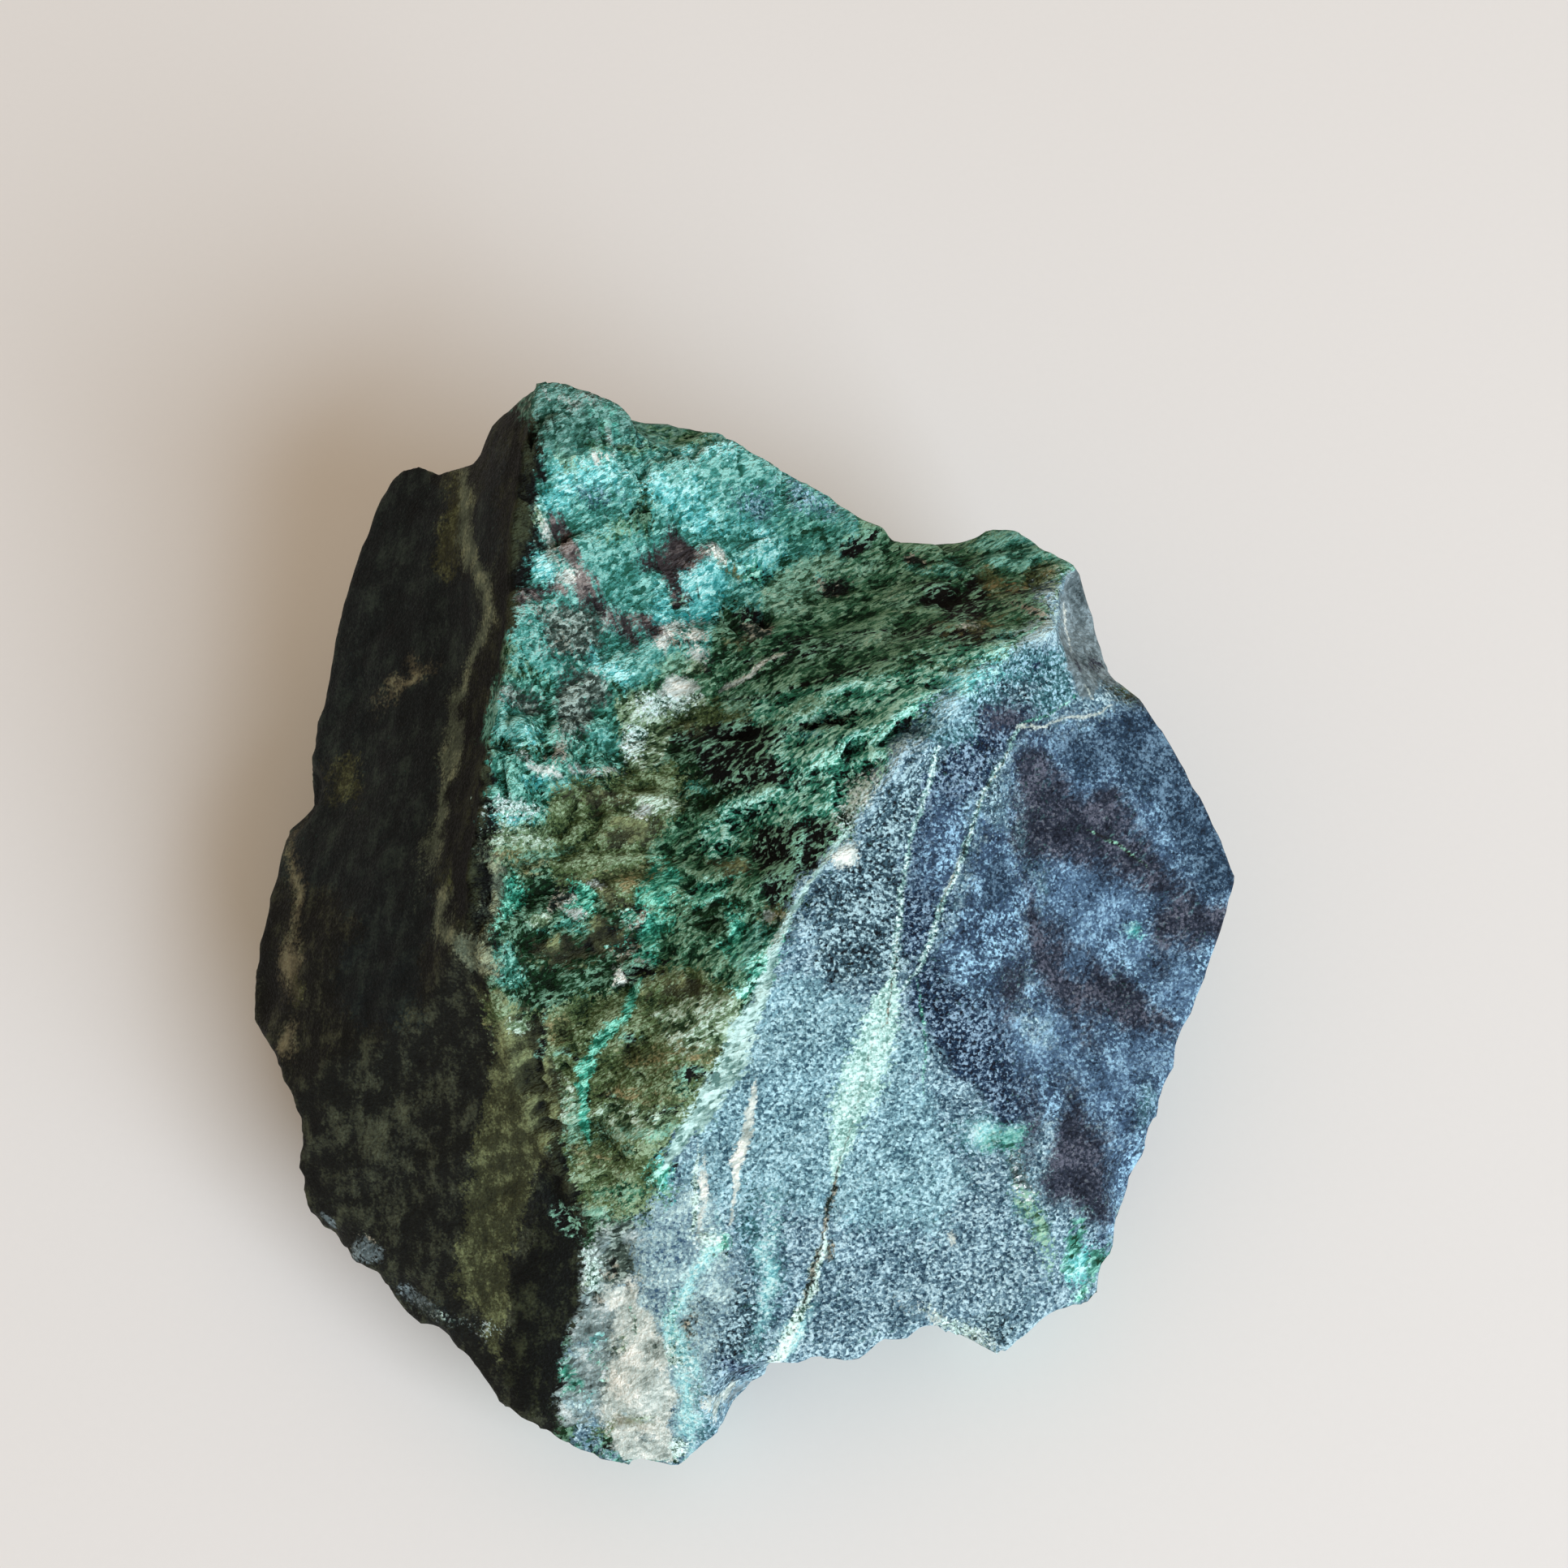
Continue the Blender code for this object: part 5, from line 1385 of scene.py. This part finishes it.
def three_tones_group():
    """A mineral's colour: dark where the grain is -1, middle at 0 and light at 1."""
    tree, given, out = new_group(
        "three_tones", "Dark:Color, Middle:Color, Light:Color, Grain", "Color:Color"
    )
    darkness = math_node(tree, "MULTIPLY", given["Grain"], -1.0, clamp=True)
    lightness = math_node(tree, "MULTIPLY", given["Grain"], 1.0, clamp=True)
    color = mix_colors(tree, darkness, given["Middle"], given["Dark"])
    plug(tree, out["Color"], mix_colors(tree, lightness, color, given["Light"]))
    return tree


GROUPS = {
    "frayed_edge": frayed_edge_group(),
    "thin_line": thin_line_group(),
    "three_tones": three_tones_group(),
}
print("groups of masks and tones:", ", ".join(GROUPS))

# %% Grain, with and without cells, and how a group is placed
# The noise's own scale and roughness, how far it warps the cells, and the bound of every grain.
NOISE_SCALE, NOISE_ROUGHNESS, CELL_WARP, GRAIN_BOUND = 0.8, 0.65, 1.2, 1.2


def grain_group(name, with_cells):
    """Grain of about -1 to 1 on a turned and stretched place: angular cells, each with its own
    random value, added to noise. A contrast makes the noise stronger, and a share weighs the
    cells. It puts out three such grains, one from each channel."""
    tree, given, out = new_group(
        name, "Place:Vector, Turn:Vector, Cells per mm:Vector, Contrast, Cell share, Detail",
        "Grain, Other, Third",
    )
    at = add_node(tree, "Mapping", Vector=given["Place"], Rotation=given["Turn"])["Vector"]
    at = vector_node(tree, "MULTIPLY", at, given["Cells per mm"])
    speckle = add_node(tree, "TexNoise", Vector=at, Scale=NOISE_SCALE, Roughness=NOISE_ROUGHNESS,
                       Detail=given["Detail"])["Color"]
    noise_parts = parts(tree, "Color", speckle)
    if with_cells:
        warped = vector_node(tree, "MULTIPLY_ADD", speckle, (CELL_WARP,) * 3, at)
        cells = add_node(tree, "TexVoronoi", {"distance": "CHEBYCHEV"}, Vector=warped, Scale=1.0)
        cell_parts = parts(tree, "Color", cells["Color"])
    for output, channel in (("Grain", "Red"), ("Other", "Green"), ("Third", "Blue")):
        centred = math_node(tree, "SUBTRACT", noise_parts[channel], 0.5)
        value = math_node(tree, "MULTIPLY", centred, given["Contrast"])
        if with_cells:
            cell = math_node(tree, "SUBTRACT", cell_parts[channel], 0.5)
            value = math_node(tree, "MULTIPLY_ADD", cell, given["Cell share"], value)
        value = math_node(tree, "MAXIMUM", value, -GRAIN_BOUND)
        plug(tree, out[output], math_node(tree, "MINIMUM", value, GRAIN_BOUND))
    return tree


def place(tree, group, **values):
    """Places a group in a material and plugs values into its inputs; gives its outputs."""
    return add_node(tree, "Group", {"node_tree": GROUPS[group]}, **values)


def read_number(tree, name, output="Fac"):
    """An Attribute node that reads a number, or a vector, kept on the mesh."""
    settings = {"attribute_type": "GEOMETRY", "attribute_name": name}
    return add_node(tree, "Attribute", settings)[output]


GROUPS["grain"] = grain_group("grain", True)
GROUPS["soft_grain"] = grain_group("soft_grain", False)
print("all groups:", ", ".join(GROUPS))

# %% [markdown]
# ## The rock's finish
#
# Seen close, the blue face is salt and pepper: grains of a fifth of a millimetre, pale on dark.
# The hollow glitters in short strokes, where crystal edges catch the light, and the left side is
# dull with slow clouds and streaks. Fine dust lies in all of it, so there are five grains. All
# are read in millimetres on the stone itself, and the same grains drive the colour, the bump and
# the dullness, as on real rock. Every colour is laid over the last by its own frayed mask, so
# the order of the table of minerals decides which one covers which.

# %% The five grains and their mixtures
# Each grain: cells per mm along its three directions, contrast and detail of its noise, and the
# weight of its cells. Clouds have no cells.
SALT = (7.4, 8.2, 7.6), 4.3, 2.0, 1.8
STROKES = (2.8, 6.0, 5.6), 4.0, 2.0, 1.9
CLOUDS = (0.9, 0.9, 0.9), 4.8, 2.0, 0.0
FINE = (9.0, 9.0, 9.0), 2.6, 1.0, 0.9
STREAKS = (1.9, 0.45, 1.1), 4.0, 2.0, 0.3
STROKE_TURN, STREAK_TURN = (0.0, 0.0, math.radians(-28.0)), (0.0, 0.0, math.radians(8.0))
FILL_SHADE = 0.45
SHINE = 0.12
DULL_LEAST, DULL_MOST = 0.50, 0.85
BUMP_STRENGTH, BUMP_HEIGHT, SALT_BUMP = 0.8, 0.13, 0.25
# How much of each grain goes into the mixtures.
DRIFT_SHARE, CLOUD_SHARE, SALT_SHARE = 0.45, 0.60, 0.65
STROKE_SHARE, STREAK_SHARE, FINE_SHARE = 0.40, 0.40, 0.35


def add_share(tree, value, share, rest):
    """A share of one value added to the rest."""
    return math_node(tree, "MULTIPLY_ADD", value, share, rest)


def five_grains(tree):
    """The five grains, read in millimetres on the stone itself."""
    where = add_node(tree, "TexCoord")["Object"]
    mm = vector_node(tree, "MULTIPLY", where, (1.0 / MM,) * 3)

    def grain(kind, turn=(0.0, 0.0, 0.0)):
        """A placed grain of one kind, turned."""
        cells, contrast, detail, cell_share = kind
        return place(tree, "grain" if cell_share else "soft_grain", Place=mm, Turn=turn,
                     Cells_per_mm=cells, Contrast=contrast, Detail=detail, Cell_share=cell_share)

    return (grain(SALT), grain(STROKES, STROKE_TURN), grain(CLOUDS), grain(FINE),
            grain(STREAKS, STREAK_TURN))


def mixed_grains(tree, salt, strokes, clouds, fine, streaks):
    """The grain of each kind of mineral: shares of the five grains, moved by the tone, which holds
    painted light and painted shade.
    """
    tone = read_number(tree, "tone")
    drift = add_share(tree, clouds["Grain"], DRIFT_SHARE, tone)
    cloudy = add_share(tree, clouds["Other"], CLOUD_SHARE, tone)
    streaky = add_share(tree, streaks["Grain"], STREAK_SHARE, drift)
    return {
        "salt": math_node(tree, "ADD", salt["Grain"], drift),
        "strokes": math_node(tree, "ADD", strokes["Grain"], drift),
        "cloud": add_share(tree, salt["Third"], SALT_SHARE, cloudy),
        "lumps": add_share(tree, strokes["Grain"], STROKE_SHARE, cloudy),
        "streaks": add_share(tree, fine["Grain"], FINE_SHARE, streaky),
    }


print("cells of salt per mm:", *SALT[0])


# %% Layers of colour
def tones(tree, mineral, grains):
    """A mineral's three tones, picked by the grain of its kind."""
    dark, middle, light, _, _, kind = MINERALS[mineral]
    return place(tree, "three_tones", Dark=linear(dark), Middle=linear(middle),
                 Light=linear(light), Grain=grains[kind])["Color"]


def lay_minerals(tree, grains, wanders):
    """The fill, shaded by its grain, with every mineral of the stone laid over it in turn by a
    frayed mask. The masks take turns with the wandering values."""
    shade = add_share(tree, grains["strokes"], FILL_SHADE, 1.0)
    color = vector_node(tree, "MULTIPLY", read_number(tree, "fill", "Vector"), shade)
    for turn, (name, (_, _, _, reach, softness, _)) in enumerate(MINERALS.items()):
        if name in inside:
            mask = place(tree, "frayed_edge", Inside=read_number(tree, "in_" + name),
                         Wander=wanders[turn % len(wanders)], Reach=reach, Softness=softness)
            color = mix_colors(tree, mask["Mask"], color, tones(tree, name, grains))
    return color


def lay_veins(tree, color, grains, wander, gaps):
    """The veins and bands, each laid over the colour by the mask of its thin line."""
    for name, mineral, _ in VEINS + BANDS:
        mask = place(tree, "thin_line", Vein=read_number(tree, name, "Vector"),
                     Wander=wander, Gaps=gaps)
        color = mix_colors(tree, mask["Mask"], color, tones(tree, mineral, grains))
    return color


print(len(inside) + len(VEINS) + len(BANDS), "layers of colour over the fill")


# %% The material
def rock_material():
    """The minerals' colour under the veins', with bump and dullness from the same grains."""
    material = bpy.data.materials.new("copper_rock")
    material.use_nodes = True
    tree = material.node_tree
    shader = tree.nodes["Principled BSDF"].inputs
    shader["Specular IOR Level"].default_value = SHINE
    salt, strokes, clouds, fine, streaks = five_grains(tree)
    grains = mixed_grains(tree, salt, strokes, clouds, fine, streaks)
    wanders = (salt["Other"], salt["Third"], strokes["Other"], fine["Other"])
    color = lay_minerals(tree, grains, wanders)
    color = lay_veins(tree, color, grains, strokes["Third"], salt["Third"])
    plug(tree, shader["Base Color"], color)

    grit = math_node(tree, "MULTIPLY", salt["Grain"], SALT_BUMP)
    height = add_share(tree, strokes["Grain"], read_number(tree, "rough"), grit)
    bump = add_node(tree, "Bump", Strength=BUMP_STRENGTH, Distance=BUMP_HEIGHT * MM, Height=height)
    plug(tree, shader["Normal"], bump["Normal"])
    dull = add_node(tree, "MapRange", Value=fine["Third"], From_Min=-1.0, From_Max=1.0,
                    To_Min=DULL_LEAST, To_Max=DULL_MOST)
    plug(tree, shader["Roughness"], dull["Result"])
    return material


stone_mesh.materials.append(rock_material())
print("material nodes:", len(stone_mesh.materials[0].node_tree.nodes))

# %% [markdown]
# ## Floor
#
# The stone lies on plain pale paper. A flat white plane looks like nothing, so the paper has a
# faint tooth and the slightest unevenness of tone. It is so wide that the camera never sees its
# edge.

# %% Paper floor
PAPER_HALF = 1.5
PAPER_SCREEN, TOOTH_SCREEN = (234, 229, 226), (196, 194, 190)
TOOTH_PER_M, TOOTH_DETAIL, TOOTH_SHARE = 2500.0, 3.0, 0.06
PAPER_DULLNESS, PAPER_SHINE = 0.9, 0.2


def paper_floor():
    """A level square sheet at z = 0, four corners, with a faintly toothed paper finish."""
    mesh = bpy.data.meshes.new("paper_floor")
    half = PAPER_HALF
    corners = [(-half, -half, 0.0), (half, -half, 0.0), (half, half, 0.0), (-half, half, 0.0)]
    mesh.from_pydata(corners, [], [(0, 1, 2, 3)])
    material = bpy.data.materials.new("pale_paper")
    material.use_nodes = True
    tree = material.node_tree
    shader = tree.nodes["Principled BSDF"].inputs
    shader["Roughness"].default_value = PAPER_DULLNESS
    shader["Specular IOR Level"].default_value = PAPER_SHINE
    tooth = add_node(tree, "TexNoise", Vector=add_node(tree, "TexCoord")["Object"],
                     Scale=TOOTH_PER_M, Detail=TOOTH_DETAIL)
    share = math_node(tree, "MULTIPLY", tooth["Fac"], TOOTH_SHARE)
    color = mix_colors(tree, share, linear(PAPER_SCREEN), linear(TOOTH_SCREEN))
    plug(tree, shader["Base Color"], color)
    mesh.materials.append(material)
    floor = bpy.data.objects.new("paper_floor", mesh)
    bpy.context.scene.collection.objects.link(floor)
    return floor


floor = paper_floor()
print("paper:", 2 * PAPER_HALF, "m wide")

# %% Hand over to the frame
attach(stone, "root")
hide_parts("stone")
